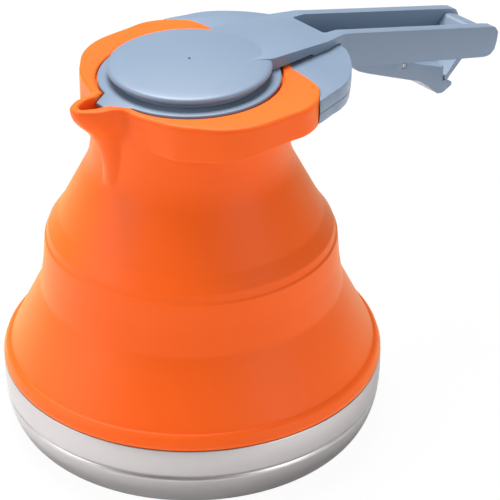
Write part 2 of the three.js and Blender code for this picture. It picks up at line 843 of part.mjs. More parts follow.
function lidWithHandle() {
  const { bar, slot } = rails();
  const bosses = lidScrewPlaces().map(([x, y]) => upright(
    lidScrew.shank + clearance + lidScrew.bossWall,
    capBottom,
    bossTop,
    x,
    y,
    bossFacets,
  ));
  const loop = tongue().add(bar).subtract(slot).add(web());
  const cap = bosses.reduce((solid, boss) => solid.add(boss), lidCap()).add(loop);
  const pilots = lidScrewPlaces().map(([x, y]) => upright(
    lidScrew.shank + clearance,
    capBottom - cutOverrun,
    lidScrewTop + clearance,
    x,
    y,
    screwFacets,
  ));
  const vent = upright(ventRadius, plateTop, capTop + cutOverrun, 0, 0, screwFacets);
  return pilots.reduce((solid, pilot) => solid.subtract(pilot), cap).subtract(vent);
}

function lidPlate() {
  const flange = slab(polarOutline(lidEdge, lidAngles), plateBottom, plateTop);
  const lip = plugRadius + plugLip;
  const inner = plugRadius - capWall;
  const bottom = plateBottom - plugDepth;
  const plug = revolve([
    [inner, bottom],
    [lip, bottom],
    [lip, bottom + plugLip],
    [plugRadius, bottom + 2 * plugLip],
    [plugRadius, plateBottom + clearance],
    [inner, plateBottom + clearance],
  ]);
  return lidScrewPlaces().reduce((solid, [x, y]) => solid.subtract(
    upright(lidScrew.shank + clearance, bottom, plateTop + cutOverrun, x, y, screwFacets),
  ), flange.add(plug));
}

function lidGasket() {
  const bottom = plateBottom - clearance - gasketHeight;
  const inner = plugRadius + clearance;
  const middle = bottom + gasketHeight / 2;
  return revolve([
    [inner, bottom],
    [(inner + gasketRadius) / 2, bottom],
    [gasketRadius, middle],
    [(inner + gasketRadius) / 2, bottom + gasketHeight],
    [inner, bottom + gasketHeight],
  ]);
}

function lidScrewSolid([x, y]) {
  const headTop = plateBottom - clearance;
  const shank = upright(lidScrew.shank, headTop - clearance, lidScrewTop, x, y, screwFacets);
  const head = upright(lidScrew.head, headTop - lidScrew.headHeight, headTop, x, y, screwFacets);
  return head.add(shank);
}

// Assembly

const kettle = new THREE.Group();

function addPart(name, solid, material) {
  const mesh = new THREE.Mesh(toGeometry(solid), material);
  mesh.name = name;
  kettle.add(mesh);
}

addPart('base_pan', basePan(), steel);
addPart('pan_retaining_ring', panRetainingRing(), steel);
addPart('body_rim_band', bodyRimBand(), silicone);
addPart('body_lower_fold', bodyFold(
  [rimCreaseRadius, rimTop + clearance],
  [middleBottomRadius, middleBottom - clearance],
), silicone);
addPart('body_middle_band', bodyMiddleBand(), silicone);
addPart('body_upper_fold', bodyFold(
  [middleTopRadius, middleTop + clearance],
  [neckBottomRadius, neckBottom - clearance],
), silicone);
addPart('body_neck', bodyNeck(), silicone);
addPart('collar_cover', collarCover(), plastic);
addPart('collar_lower_ring', collarLowerRing(), plastic);
yokeScrewPlaces().forEach((place, i) => addPart(`collar_screw_${i + 1}`, collarScrew(place), steel));
addPart('handle_arm', handleArm(), plastic);
addPart('arm_cross_pin', armCrossPin(), steel);
addPart('lid_with_handle', lidWithHandle(), plastic);
addPart('lid_plate', lidPlate(), plastic);
addPart('lid_gasket', lidGasket(), seal);
lidScrewPlaces().forEach((place, i) => addPart(`lid_screw_${i + 1}`, lidScrewSolid(place), steel));

export default kettle;
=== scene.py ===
# %% [markdown]
# A folding camping kettle. A silicone body stands on a steel pan, and the lid carries a long loop handle
# that nests over a fixed lower arm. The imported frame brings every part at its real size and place, so
# each piece below is modelled straight into its place, with +Z up. Blender works in metres here, and the
# drawings are written in millimetres, as a maker's drawing is.

# %% Load the frame and keep its box
import math

import bpy
from mathutils import Matrix, Vector


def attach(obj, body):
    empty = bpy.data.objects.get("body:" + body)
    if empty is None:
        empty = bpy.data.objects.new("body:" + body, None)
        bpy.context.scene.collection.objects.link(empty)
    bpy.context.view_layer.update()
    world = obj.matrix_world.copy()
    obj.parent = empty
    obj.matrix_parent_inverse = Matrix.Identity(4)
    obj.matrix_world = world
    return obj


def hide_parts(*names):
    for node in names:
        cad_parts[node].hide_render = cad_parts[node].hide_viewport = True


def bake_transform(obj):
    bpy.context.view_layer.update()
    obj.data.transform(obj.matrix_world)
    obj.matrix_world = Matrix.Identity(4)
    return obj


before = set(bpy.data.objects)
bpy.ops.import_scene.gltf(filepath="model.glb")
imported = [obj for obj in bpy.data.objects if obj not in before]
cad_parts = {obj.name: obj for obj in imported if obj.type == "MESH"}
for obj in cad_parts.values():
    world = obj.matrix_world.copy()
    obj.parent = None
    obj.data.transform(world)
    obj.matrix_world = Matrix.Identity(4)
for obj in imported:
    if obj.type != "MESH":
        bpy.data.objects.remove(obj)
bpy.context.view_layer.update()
MM = 0.001

# %% [markdown]
# The photograph was taken with a long lens from about 0.9 metres away, looking down at 31 degrees. The
# numbers below come from matching known circles of the kettle, such as the seam above the pan. The
# camera is placed first, so that every later step can be judged from the same place.

# %% Place the camera
HANDLE_TURN = math.radians(38.5)
PITCH, YAW, ROLL = 0.5371, 0.0309, 0.0041
LENS_HEIGHT, LENS_DISTANCE, FLOOR_SHIFT = 0.52879608, 0.7714654, 0.0038
SENSOR_WIDTH, LENS_LENGTH = 36, 158.4


def to_frame(x, y, z):
    """Turns a place in the camera's directions into the frame, where the handle points along +X."""
    turn_cos, turn_sin = math.cos(HANDLE_TURN), math.sin(HANDLE_TURN)
    return Vector((x * turn_cos + y * turn_sin, y * turn_cos - x * turn_sin, z))


def start_empty():
    """Deselects everything, because an operator acts on all that is selected."""
    bpy.ops.object.select_all(action="DESELECT")


forward = Vector((
    math.sin(YAW) * math.cos(PITCH),
    math.cos(YAW) * math.cos(PITCH),
    -math.sin(PITCH),
))
flat_right = Vector((math.cos(YAW), -math.sin(YAW), 0))
flat_up = flat_right.cross(forward)
right = flat_right * math.cos(ROLL) + flat_up * math.sin(ROLL)
start_empty()
bpy.ops.object.camera_add(location=to_frame(0, -LENS_DISTANCE, LENS_HEIGHT + FLOOR_SHIFT))
camera = bpy.context.object
camera.name = "camera"
camera.data.sensor_width = SENSOR_WIDTH
camera.data.lens = LENS_LENGTH
aim = to_frame(*forward)
side = to_frame(*right)
top = side.cross(aim)
camera.rotation_mode = "QUATERNION"
turn = [[side[i], top[i], -aim[i]] for i in range(3)]
camera.rotation_quaternion = Matrix(turn).to_quaternion()
bpy.context.scene.camera = camera
print("camera at", [round(value, 4) for value in camera.location])

# %% [markdown]
# A studio for a small object has a few large soft lamps. One lamp could light the kettle, but its far
# side would go black, so a weaker lamp fills that side in, and a third one above lights the tops. Each
# lamp is a disc, because a disc leaves a round, quiet highlight on the plastic and the steel.

# %% Light the studio
bpy.context.scene.view_settings.view_transform = "Standard"
LAMP_AIM = Vector((0, 0, 0.08))
LAMPS = {
    "key_lamp": {"place": (-1.05, -0.3, 0.5), "size": 0.7, "watts": 7.6},
    "fill_lamp": {"place": (0.9, -0.7, 0.45), "size": 0.7, "watts": 5.6},
    "top_lamp": {"place": (-0.1, 0.3, 1.0), "size": 0.6, "watts": 16},
}
for name, setting in LAMPS.items():
    start_empty()
    bpy.ops.object.light_add(type="AREA", location=to_frame(*setting["place"]))
    lamp = bpy.context.object
    lamp.name = name
    lamp.data.shape = "DISK"
    lamp.data.size = setting["size"]
    lamp.data.energy = setting["watts"]
    lamp.rotation_mode = "QUATERNION"
    lamp.rotation_quaternion = (LAMP_AIM - lamp.location).to_track_quat("-Z", "Y")
    print("lamp:", name, setting["watts"], "W")

# %% [markdown]
# A finish is a tree of shader nodes, and its maths reads best as plain arithmetic. The nodes could be
# placed and linked one by one, but then a sum of two noises takes ten lines. One small class wraps a
# socket instead, so that an expression such as cloud * 0.12 + 0.44 adds its Math nodes by itself, and
# one method adds any other node.

# %% A small class for shader expressions
MIX_FACTOR, MIX_LOW_COLOUR, MIX_HIGH_COLOUR, MIXED_COLOUR = 0, 6, 7, 2


class Socket:
    """An output socket, with arithmetic that adds Math nodes."""

    def __init__(self, finish, value):
        self.finish = finish
        self.value = value

    def math(self, operation, *others):
        values = [self.value] + [other.value if isinstance(other, Socket) else other for other in others]
        return self.finish.add("ShaderNodeMath", {"operation": operation}, dict(enumerate(values)))

    def __add__(self, other):
        return self.math("ADD", other)

    def __mul__(self, other):
        return self.math("MULTIPLY", other)

    __radd__ = __add__
    __rmul__ = __mul__


class Finish:
    """A node tree, with one method that adds a node, sets it and links its sockets."""

    def __init__(self, tree):
        self.tree = tree
        tree.nodes.clear()

    def add(self, kind, settings=None, sockets=None, output=0):
        node = self.tree.nodes.new(kind)
        for name, value in (settings or {}).items():
            setattr(node, name, value)
        for name, value in (sockets or {}).items():
            value = value.value if isinstance(value, Socket) else value
            if isinstance(value, bpy.types.NodeSocket):
                self.tree.links.new(value, node.inputs[name])
            else:
                node.inputs[name].default_value = value
        return Socket(self, node.outputs[output])

    def mixed_colour(self, mask, low, high):
        return self.add("ShaderNodeMix", {"data_type": "RGBA"}, {
            MIX_FACTOR: mask,
            MIX_LOW_COLOUR: (*low, 1),
            MIX_HIGH_COLOUR: (*high, 1),
        }, MIXED_COLOUR)

    def noise(self, place, scale, detail=2.0, roughness=0.5):
        return self.add("ShaderNodeTexNoise", {}, {
            "Vector": place,
            "Scale": scale,
            "Detail": detail,
            "Roughness": roughness,
        })

    def close(self, kind, shader):
        output = self.tree.nodes.new(kind)
        self.tree.links.new(shader.value, output.inputs["Surface"])


print("shader helper ready")

# %% [markdown]
# Every material begins and ends in the same way, so two short helpers do that: one opens an empty tree,
# and the other links the shader to the output. Colours are picked on a screen, whose levels aren't
# linear, while a shader wants linear light. A third helper turns one into the other.

# %% Open and close a material


def new_finish(name):
    material = bpy.data.materials.new(name)
    material.use_nodes = True
    return material, Finish(material.node_tree)


def close_finish(material, finish, shader):
    finish.close("ShaderNodeOutputMaterial", shader)
    print("finish:", material.name, len(material.node_tree.nodes), "nodes")
    return material


def screen_colour(red, green, blue):
    """The linear colour of a screen colour of 0 to 255."""
    def linear(level):
        share = level / 255
        return share / 12.92 if share <= 0.04045 else ((share + 0.055) / 1.055) ** 2.4
    return tuple(linear(level) for level in (red, green, blue))


print("orange in linear light:", screen_colour(238, 88, 15))

# %% [markdown]
# The floor is one large pale plane. A white floor could be had from more light, but then the kettle
# would wash out too. Light Path tells which rays come from the camera, so only for those are the floor
# and the world lifted to white. The floor still catches the soft shadow that tells where the pan stands.

# %% Lay the floor and set the background
FLOOR_SIZE, FLOOR_DROP = 12, 0.0002
SKY_LEVEL, FLOOR_LIFT = 0.2, 0.95
PAPER_LOW, PAPER_HIGH = (0.86, 0.86, 0.86), (0.88, 0.88, 0.88)

world = bpy.data.worlds.new("studio")
bpy.context.scene.world = world
world.use_nodes = True
sky = Finish(world.node_tree)
sky_seen = sky.add("ShaderNodeLightPath", output="Is Camera Ray")
sky_shader = sky.add("ShaderNodeBackground", {}, {
    "Color": (1, 1, 1, 1),
    "Strength": sky_seen * (1 - SKY_LEVEL) + SKY_LEVEL,
})
sky.close("ShaderNodeOutputWorld", sky_shader)

start_empty()
bpy.ops.mesh.primitive_plane_add(size=FLOOR_SIZE, location=(0, 0, -FLOOR_DROP))
floor = bpy.context.object
floor.name = "floor"
bpy.ops.object.transform_apply(location=True)
floor_material, paper = new_finish("floor_paper")
paper_place = paper.add("ShaderNodeTexCoord", output="Object")
paper_grain = paper.noise(paper_place, scale=40.0)
paper_shade = paper.add("ShaderNodeBsdfPrincipled", {}, {
    "Base Color": paper.mixed_colour(paper_grain, PAPER_LOW, PAPER_HIGH),
    "Roughness": 0.9,
})
paper_glow = paper.add("ShaderNodeEmission", {}, {"Color": (1, 1, 1, 1), "Strength": 1.0})
paper_seen = paper.add("ShaderNodeLightPath", output="Is Camera Ray")
paper_mix = paper.add("ShaderNodeMixShader", {}, {
    0: paper_seen * FLOOR_LIFT,
    1: paper_shade,
    2: paper_glow,
})
close_finish(floor_material, paper, paper_mix)
floor.data.materials.append(floor_material)
print("floor and background ready")

# %% [markdown]
# Food silicone is matt with a soft bloom. A plain rough plastic shader looks chalky in its place, so a
# little sheen is laid over it, which lifts the sides that turn away from the eye. The colour is one deep
# orange all through, so the finish varies only a little: broad clouds and a faint mould grain.

# %% Make the silicone


def make_silicone(name, low, high):
    material, finish = new_finish(name)
    place = finish.add("ShaderNodeTexCoord", output="Object")
    cloud = finish.noise(place, scale=22.0, detail=3.0)
    grain = finish.noise(place, scale=2600.0)
    bump = finish.add("ShaderNodeBump", {}, {
        "Strength": 0.12,
        "Distance": 0.0002,
        "Height": grain * 0.6 + cloud * 0.4,
    })
    shader = finish.add("ShaderNodeBsdfPrincipled", {}, {
        "Base Color": finish.mixed_colour(cloud, low, high),
        "Roughness": cloud * 0.12 + 0.44,
        "Specular IOR Level": 0.2,
        "Sheen Weight": 0.22,
        "Sheen Roughness": 0.5,
        "Sheen Tint": (0.8, 1.0, 0.2, 1),
        "Normal": bump,
    })
    return close_finish(material, finish, shader)


silicone = make_silicone("orange_silicone", screen_colour(238, 88, 15), screen_colour(242, 93, 19))
seal_silicone = make_silicone("seal_silicone", screen_colour(214, 214, 208), screen_colour(224, 224, 219))

# %% [markdown]
# The lid, collar and arm are moulded in one satin slate-blue plastic. The mould's spark-eroded face
# leaves a very fine grain, and the plastic's flow leaves broad clouds that shift its gloss. Both could
# be painted as an image, but two noises on the object's own coordinates stay sharp at any distance.

# %% Make the plastic


def make_plastic(name, low, high):
    material, finish = new_finish(name)
    place = finish.add("ShaderNodeTexCoord", output="Object")
    flow = finish.noise(place, scale=30.0)
    spark = finish.noise(place, scale=3400.0, detail=3.0, roughness=0.6)
    bump = finish.add("ShaderNodeBump", {}, {
        "Strength": 0.16,
        "Distance": 0.00015,
        "Height": spark,
    })
    shader = finish.add("ShaderNodeBsdfPrincipled", {}, {
        "Base Color": finish.mixed_colour(flow, low, high),
        "Roughness": flow * 0.1 + spark * 0.06 + 0.34,
        "Specular IOR Level": 0.5,
        "Sheen Weight": 0.16,
        "Sheen Roughness": 0.4,
        "Normal": bump,
    })
    return close_finish(material, finish, shader)


plastic = make_plastic("slate_blue_plastic", screen_colour(106, 124, 145), screen_colour(111, 129, 150))

# %% [markdown]
# The pan is drawn and spun steel, polished round and round, so its fine lines follow circles about the
# axis. An anisotropic shader could stretch the highlight, but it draws no lines. Here a noise changes
# fast with the radius and the height and hardly at all round the axis, and that draws them.

# %% Make the brushed steel
TROUGH_LEVEL, ROUND_CHANGE = 0.93, 1.6


def make_steel(name, colour, across):
    """Steel whose lines go round the Z axis; across tells how many noise steps a metre has."""
    material, finish = new_finish(name)
    place = finish.add("ShaderNodeTexCoord", output="Object")
    split = finish.add("ShaderNodeSeparateXYZ", {}, {0: place}).value.node
    x, y, z = (Socket(finish, output) for output in split.outputs)
    radius = (x * x + y * y).math("SQRT")
    angle = y.math("ARCTAN2", x)
    lines_place = finish.add("ShaderNodeCombineXYZ", {}, {
        "X": radius * across,
        "Y": z * across,
        "Z": angle.math("SINE") * ROUND_CHANGE,
    })
    lines = finish.noise(lines_place, scale=1.0, detail=4.0, roughness=0.65)
    cloud = finish.noise(place, scale=26.0, detail=3.0)
    bump = finish.add("ShaderNodeBump", {}, {
        "Strength": 0.1,
        "Distance": 0.00005,
        "Height": lines,
    })
    trough = tuple(value * TROUGH_LEVEL for value in colour)
    shader = finish.add("ShaderNodeBsdfPrincipled", {}, {
        "Base Color": finish.mixed_colour(lines, trough, colour),
        "Metallic": 1.0,
        "Roughness": lines * 0.18 + cloud * 0.1 + 0.27,
        "Normal": bump,
    })
    return close_finish(material, finish, shader)


pan_steel = make_steel("brushed_pan_steel", (0.5, 0.48, 0.48), 900.0)
screw_steel = make_steel("screw_steel", (0.55, 0.55, 0.56), 1600.0)

# %% [markdown]
# Most pieces begin as an outline. By hand, one vertex is placed and extruded from corner to corner, and
# the last edge closes the loop. Moulded parts have no sharp corners, and a bevel could round them later,
# but it rounds all alike. So each corner of the drawing carries its own radius.

# %% Draw outlines
MOST_OF_AN_EDGE, SEED_SIZE = 0.49, 0.002


def rounded(corners, steps=6):
    """Points of a closed outline, from corners of (x, y, radius) in millimetres."""
    points = []
    count = len(corners)
    for index, corner in enumerate(corners):
        here = Vector(corner[:2])
        radius = corner[2] if len(corner) > 2 else 0
        if radius <= 0:
            points.append(here)
            continue
        before = Vector(corners[index - 1][:2]) - here
        after = Vector(corners[(index + 1) % count][:2]) - here
        reach = min(
            radius / math.tan(before.angle(after) / 2),
            before.length * MOST_OF_AN_EDGE,
            after.length * MOST_OF_AN_EDGE,
        )
        start = here + before.normalized() * reach
        end = here + after.normalized() * reach
        for step in range(steps + 1):
            share = step / steps
            points.append(start * (1 - share) ** 2 + here * 2 * share * (1 - share) + end * share ** 2)
    return points


def draw_outline(name, points):
    """Extrudes one vertex along the points, and fills the closed loop with a face."""
    start_empty()
    bpy.ops.mesh.primitive_plane_add(size=SEED_SIZE, location=points[0])
    piece = bpy.context.object
    piece.name = name
    bpy.ops.object.transform_apply(location=True)
    bpy.ops.object.mode_set(mode="EDIT")
    bpy.ops.mesh.select_mode(type="VERT")
    bpy.ops.mesh.select_all(action="SELECT")
    bpy.ops.mesh.merge(type="CENTER")
    for here, there in zip(points, points[1:]):
        bpy.ops.mesh.extrude_vertices_move(TRANSFORM_OT_translate={"value": there - here})
    bpy.ops.mesh.select_all(action="SELECT")
    bpy.ops.mesh.edge_face_add()
    return piece


print("outline helpers ready")

# %% [markdown]
# An outline becomes a solid in one of three ways, as in a workshop. It is turned about the axis, cut
# from a plate, or cut from the side out of a bar. In each case the faces are turned outwards at the end,
# because a spin or an extrusion can leave a shape inside out.

# %% Turn outlines into solids
MERGE_DISTANCE = 0.000002


def close_shell():
    """Turns all faces outwards and leaves edit mode."""
    bpy.ops.mesh.select_all(action="SELECT")
    bpy.ops.mesh.normals_make_consistent(inside=False)
    bpy.ops.object.mode_set(mode="OBJECT")


def spun(name, outline, steps=128):
    """A ring or dish: the closed outline of (radius, height) spun round the Z axis."""
    piece = draw_outline(name, [Vector((x * MM, 0, z * MM)) for x, z in outline])
    bpy.ops.mesh.delete(type="ONLY_FACE")
    bpy.ops.mesh.select_all(action="SELECT")
    bpy.ops.mesh.spin(steps=steps, angle=math.tau, center=(0, 0, 0), axis=(0, 0, 1))
    bpy.ops.mesh.select_all(action="SELECT")
    bpy.ops.mesh.remove_doubles(threshold=MERGE_DISTANCE)
    bpy.ops.mesh.delete_loose()
    close_shell()
    return piece


def rod(name, radius, low, high, steps):
    """A plain round bar on the Z axis."""
    return spun(name, [(0, low), (radius, low), (radius, high), (0, high)], steps)


def plate(name, outline, low, high):
    """An outline in plan, extruded upwards from one height to another."""
    piece = draw_outline(name, [Vector((x * MM, y * MM, low * MM)) for x, y in outline])
    bpy.ops.mesh.extrude_region_move(TRANSFORM_OT_translate={"value": (0, 0, (high - low) * MM)})
    close_shell()
    return piece


def bar(name, outline, half_width):
    """A side outline of (x, z), extruded to both sides of the middle plane."""
    piece = draw_outline(name, [Vector((x * MM, -half_width * MM, z * MM)) for x, z in outline])
    bpy.ops.mesh.extrude_region_move(TRANSFORM_OT_translate={"value": (0, 2 * half_width * MM, 0)})
    close_shell()
    return piece


def lay_across(piece, place):
    """Lays a piece that stands on the Z axis down along Y, with its middle at (x, z)."""
    for vertex in piece.data.vertices:
        x, y, z = vertex.co
        vertex.co = (x + place[0] * MM, z, -y + place[1] * MM)


print("solids can be spun, extruded upwards or extruded sideways")

# %% [markdown]
# A solid then gets its soft edges, and other solids are cut out of it or welded to it. Each of these is
# a modifier that is applied at once, so that the next step works on the real mesh.

# %% Soften, cut, weld and paint


def select_only(piece):
    start_empty()
    piece.select_set(True)
    bpy.context.view_layer.objects.active = piece


def apply_modifier(piece, kind, **settings):
    select_only(piece)
    modifier = piece.modifiers.new(kind.lower(), kind)
    for name, value in settings.items():
        setattr(modifier, name, value)
    bpy.ops.object.modifier_apply(modifier=modifier.name)


def soften(piece, width, segments=3, angle=40):
    """Rounds the edges that bend by more than an angle."""
    apply_modifier(
        piece, "BEVEL", width=width * MM, segments=segments, limit_method="ANGLE",
        angle_limit=math.radians(angle), harden_normals=False,
    )


def cut(piece, cutter):
    apply_modifier(piece, "BOOLEAN", operation="DIFFERENCE", object=cutter, solver="EXACT")
    bpy.data.objects.remove(cutter)


def weld(piece, other):
    apply_modifier(piece, "BOOLEAN", operation="UNION", object=other, solver="EXACT")
    bpy.data.objects.remove(other)


def finish_piece(piece, material, body, nodes=(), angle=35):
    """Smooths and paints a piece, and attaches it to its body; a folding piece has none."""
    select_only(piece)
    bpy.ops.object.shade_smooth_by_angle(angle=math.radians(angle))
    piece.data.materials.clear()
    piece.data.materials.append(material)
    if body:
        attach(piece, body)
    if nodes:
        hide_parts(*nodes)
    print("piece:", piece.name, len(piece.data.polygons), "faces, on", body)


print("modifier helpers ready")

# %% [markdown]
# The pan is one drawn dish: flat underside, generous rounded corner, a pressed bead and a straight wall
# with a rounded edge. A cylinder could be shelled and bevelled, but the corner is a quarter of an
# ellipse and the bead a soft dip in it. So the wall's section is worked out and spun.

# %% Spin the pan
PAN_RADIUS, PAN_FLAT, PAN_CORNER, PAN_EDGE, SHEET = 78.5, 70.2, 20.7, 28.8, 0.8
PAN_MIDDLE, CORNER_STEPS = 35, 24
BEAD_HEIGHT, BEAD_DEPTH, BEAD_SPREAD = 15.7, 0.75, 0.6875
BEAD_HALF, BEAD_ROOM, BEAD_STEPS = 2, 2.2, 8


def corner_radius(height, offset):
    """The rounded corner's radius at one height, for the outside or the inside of the sheet."""
    drop = (PAN_CORNER - height) / (PAN_CORNER - offset)
    return PAN_FLAT + (PAN_RADIUS - offset - PAN_FLAT) * math.sqrt(max(0, 1 - drop ** 2))


def pan_wall(offset):
    """Points of (radius, height) from the flat up to the straight wall."""
    corner = []
    for step in range(CORNER_STEPS + 1):
        height = PAN_CORNER - (PAN_CORNER - offset) * math.cos(step / CORNER_STEPS * math.pi / 2)
        if abs(height - BEAD_HEIGHT) > BEAD_ROOM:
            corner.append((corner_radius(height, offset), height))
    bead = []
    for step in range(BEAD_STEPS + 1):
        height = BEAD_HEIGHT + (step / BEAD_STEPS * 2 - 1) * BEAD_HALF
        dip = BEAD_DEPTH * math.exp(-((height - BEAD_HEIGHT) / BEAD_SPREAD) ** 2)
        bead.append((corner_radius(height, offset) - dip, height))
    lower = [point for point in corner if point[1] < BEAD_HEIGHT]
    upper = [point for point in corner if point[1] > BEAD_HEIGHT]
    return lower + bead + upper


outside = [(0, 0), (PAN_MIDDLE, 0)] + pan_wall(0) + [(PAN_RADIUS, PAN_EDGE - 0.5)]
rounded_edge = [
    (PAN_RADIUS - 0.2, PAN_EDGE - 0.1), (PAN_RADIUS - 0.4, PAN_EDGE), (PAN_RADIUS - SHEET, PAN_EDGE - 0.2),
]
inside = list(reversed(pan_wall(SHEET))) + [(PAN_MIDDLE, SHEET), (0, SHEET)]
pan = spun("steel_pan", outside + rounded_edge + inside, steps=160)
finish_piece(pan, pan_steel, "base", ["base_pan"])

# %% [markdown]
# The silicone is one moulding, but it folds: the stiff bands keep their shape while the two cones between
# them roll over. One spun wall couldn't do both, so each stretch is its own piece, cut where the wall
# runs straight, and the joins don't show. First come the places that all the stretches share.

# %% Measure the body's wall
RIM_TOP, CREASE = 35.0, 75.2
NECK_RADIUS, NECK_FOOT, FOOT_RADIUS = 40.4, 116.7, 41.3
WALL, STEEP, LEAD = 2.2, 0.3, 0.6
LOW_CONE = ((CREASE, RIM_TOP), (61.9, 61.4))
HIGH_CONE = ((53.5, 93.4), (FOOT_RADIUS, NECK_FOOT))
RIM_CUT, LOW_CUT, HIGH_CUT, NECK_CUT = 37.5, 56.5, 94.8, 112.5
FOLD_STEPS = 16


def on_cone(cone, height):
    """A sharp corner of (radius, height, 0) on a straight cone."""
    start, end = cone
    share = (height - start[1]) / (end[1] - start[1])
    return (start[0] + (end[0] - start[0]) * share, height, 0)


def fold_line(cone, low, high):
    """A cone's line in many short steps, so that it can bend."""
    return [on_cone(cone, low + (high - low) * step / FOLD_STEPS) for step in range(FOLD_STEPS + 1)]


def wall_piece(name, line):
    """Spins an outer line of the silicone, with its inner surface a wall's thickness away."""
    outer = rounded(line, steps=8)
    inner = []
    for index, (x, z) in enumerate(outer):
        before = outer[max(index - 1, 0)]
        after = outer[min(index + 1, len(outer) - 1)]
        along_wall = (after - before).normalized()
        inner.append((x - WALL * along_wall[1] if abs(along_wall[1]) > STEEP else x - WALL, z))
    return spun(name, [tuple(point) for point in outer] + list(reversed(inner)))


print("folding heights in mm:", round(LOW_CUT - RIM_CUT, 2), "and", round(NECK_CUT - HIGH_CUT, 2))

# %% [markdown]
# The rim is the silicone's thick foot. It sits inside the pan's wall and rolls out over its edge. The
# roll could be a bevelled ring, but it is fuller below than above, so its corners are drawn one by one.

# %% Spin the rim
rim_line = [
    (76.9, 18.6, 0), (76.9, 28.7, 0), (77.5, 29.0, 0), (78.3, 29.1, 0.3), (78.45, 30.6, 2.0),
    (77.3, 33.8, 3.5), (76.3, 34.7, 0.8), (CREASE, RIM_TOP, 0.5),
    on_cone(LOW_CONE, RIM_CUT - LEAD), on_cone(LOW_CONE, RIM_CUT),
]
rim_outer = [tuple(point) for point in rounded(rim_line, steps=8)]
rim_inner = [
    (on_cone(LOW_CONE, RIM_CUT)[0] - WALL, RIM_CUT), (CREASE - WALL - 0.4, RIM_TOP), (74.6, 28.3),
    (74.5, 18.6),
]
rim = spun("silicone_rim", rim_outer + rim_inner)
finish_piece(rim, silicone, "base", ["body_rim_band"])

# %% [markdown]
# Above the rim come the lower fold, the middle band and the upper fold. The band is stiff and rides on
# its own body.

# %% Spin the folds and the middle band
lower_fold = wall_piece("silicone_lower_fold", fold_line(LOW_CONE, RIM_CUT, LOW_CUT))
finish_piece(lower_fold, silicone, None)
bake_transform(lower_fold)
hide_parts("body_lower_fold")

middle = wall_piece("silicone_middle_band", [
    on_cone(LOW_CONE, LOW_CUT),
    on_cone(LOW_CONE, LOW_CUT + LEAD),
    (*LOW_CONE[1], 5),
    (60.2, 73, 20),
    (59.35, 83.4, 0.7),
    (58.6, 84.3, 0.6),
    (57.9, 87.2, 3.5),
    (*HIGH_CONE[0], 3),
    on_cone(HIGH_CONE, HIGH_CUT - LEAD),
    on_cone(HIGH_CONE, HIGH_CUT),
])
finish_piece(middle, silicone, "middle", ["body_middle_band"])

upper_fold = wall_piece("silicone_upper_fold", fold_line(HIGH_CONE, HIGH_CUT, NECK_CUT))
finish_piece(upper_fold, silicone, None)
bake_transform(upper_fold)
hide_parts("body_upper_fold")

# %% [markdown]
# Neck, spout and flange are one free form: seen from above, its outline changes with the height, from a
# circle at the neck to the wide flange with its beak. It could be sculpted, but the edge beside the
# collar has to fit. So a grid is wrapped round the axis: each row is one height, and each column one
# direction. The tables say how far the form reaches, by the angle from the spout or by the height.

# %% Write down the neck's tables
FLANGE_TOP, SKIRT_FOOT, SEAT_TOP, POCKET_TOP = 152.5, 141.0, 150.3, 148.9
MOUTH, SEAT = 36.8, 35.0
LIP_REACH, LIP_RISE, LIP_WALL, SKIRT_WALL = 17.0, 3.0, 3.4, 2.6
NECK = [
    (NECK_FOOT, FOOT_RADIUS), (120.5, 40.3), (125, 39.6), (130, 39.25), (136, 39.2), (SKIRT_FOOT, 39.32),
]
FLANGE = [
    (0, 0), (26, 0), (33, 0.7), (37.5, 1.5), (42, 2.4), (48, 3.5), (56, 4.9), (66, 7.6), (75, 9.2), (83, 9.9),
    (90, 10.1), (99, 10.9), (107, 13.0), (115, 13.5), (121, 13.1), (128, 11.9), (136, 10.5), (180, 9.5),
]
KEEL = [
    (0, 0), (0.03, 0.012), (0.07, 0.045), (0.12, 0.075), (0.2, 0.11), (0.34, 0.185), (0.5, 0.29),
    (0.64, 0.43), (0.72, 0.55), (0.78, 0.7), (0.83, 0.83), (0.89, 0.94), (0.95, 0.99), (1, 1),
]
BEAK = [
    (0, 1), (0.3, 0.955), (0.58, 0.783), (0.78, 0.64), (0.9, 0.478), (1.02, 0.3), (1.2, 0.16), (1.36, 0.076),
    (1.77, 0.012), (2.2, 0),
]
CREST = [(0, 1), (0.2, 0.95), (0.45, 0.78), (0.75, 0.44), (0.95, 0.17), (1.08, 0.04), (1.2, 0)]
RISE = [(0, 1), (5, 0.94), (10, 0.68), (16, 0.32), (22, 0.13), (28, 0.04), (37, 0)]
DIP = [(0, 0), (20, 0), (34, 3.3), (50, 3.4), (66, 2.8), (78, 1.8), (88, 0.6), (98, 0)]


def smooth_table(table, x):
    """Value at x on the smooth curve through a table."""
    if x <= table[0][0]:
        return table[0][1]
    if x >= table[-1][0]:
        return table[-1][1]
    index = next(i for i, (key, _) in enumerate(table) if key > x) - 1

    def slope(i):
        before, after = table[max(i - 1, 0)], table[min(i + 1, len(table) - 1)]
        return (after[1] - before[1]) / (after[0] - before[0])

    (x0, y0), (x1, y1) = table[index], table[index + 1]
    t, span = (x - x0) / (x1 - x0), x1 - x0
    return (
        y0 * (1 + 2 * t) * (1 - t) ** 2 + y1 * t * t * (3 - 2 * t)
        + span * slope(index) * t * (1 - t) ** 2 + span * slope(index + 1) * t * t * (t - 1)
    )


def limited(value):
    """A share, kept between 0 and 1."""
    return min(max(value, 0), 1)


def smooth_max(a, b, blend):
    """The larger of two values, rounded where they meet."""
    gap = max(blend - abs(a - b), 0) / blend
    return max(a, b) + gap * gap * blend / 4


print("flange at the side:", smooth_table(FLANGE, 90), "mm past the neck")

# %% [markdown]
# The outside of the form is the larger of two shapes. One is the round neck, which swells into the
# flange. The other is the spout: a keel that fades down the neck, sharp below and full under the lip.
# Taking the larger one could leave a crease where they meet, so the two are rounded into each other.

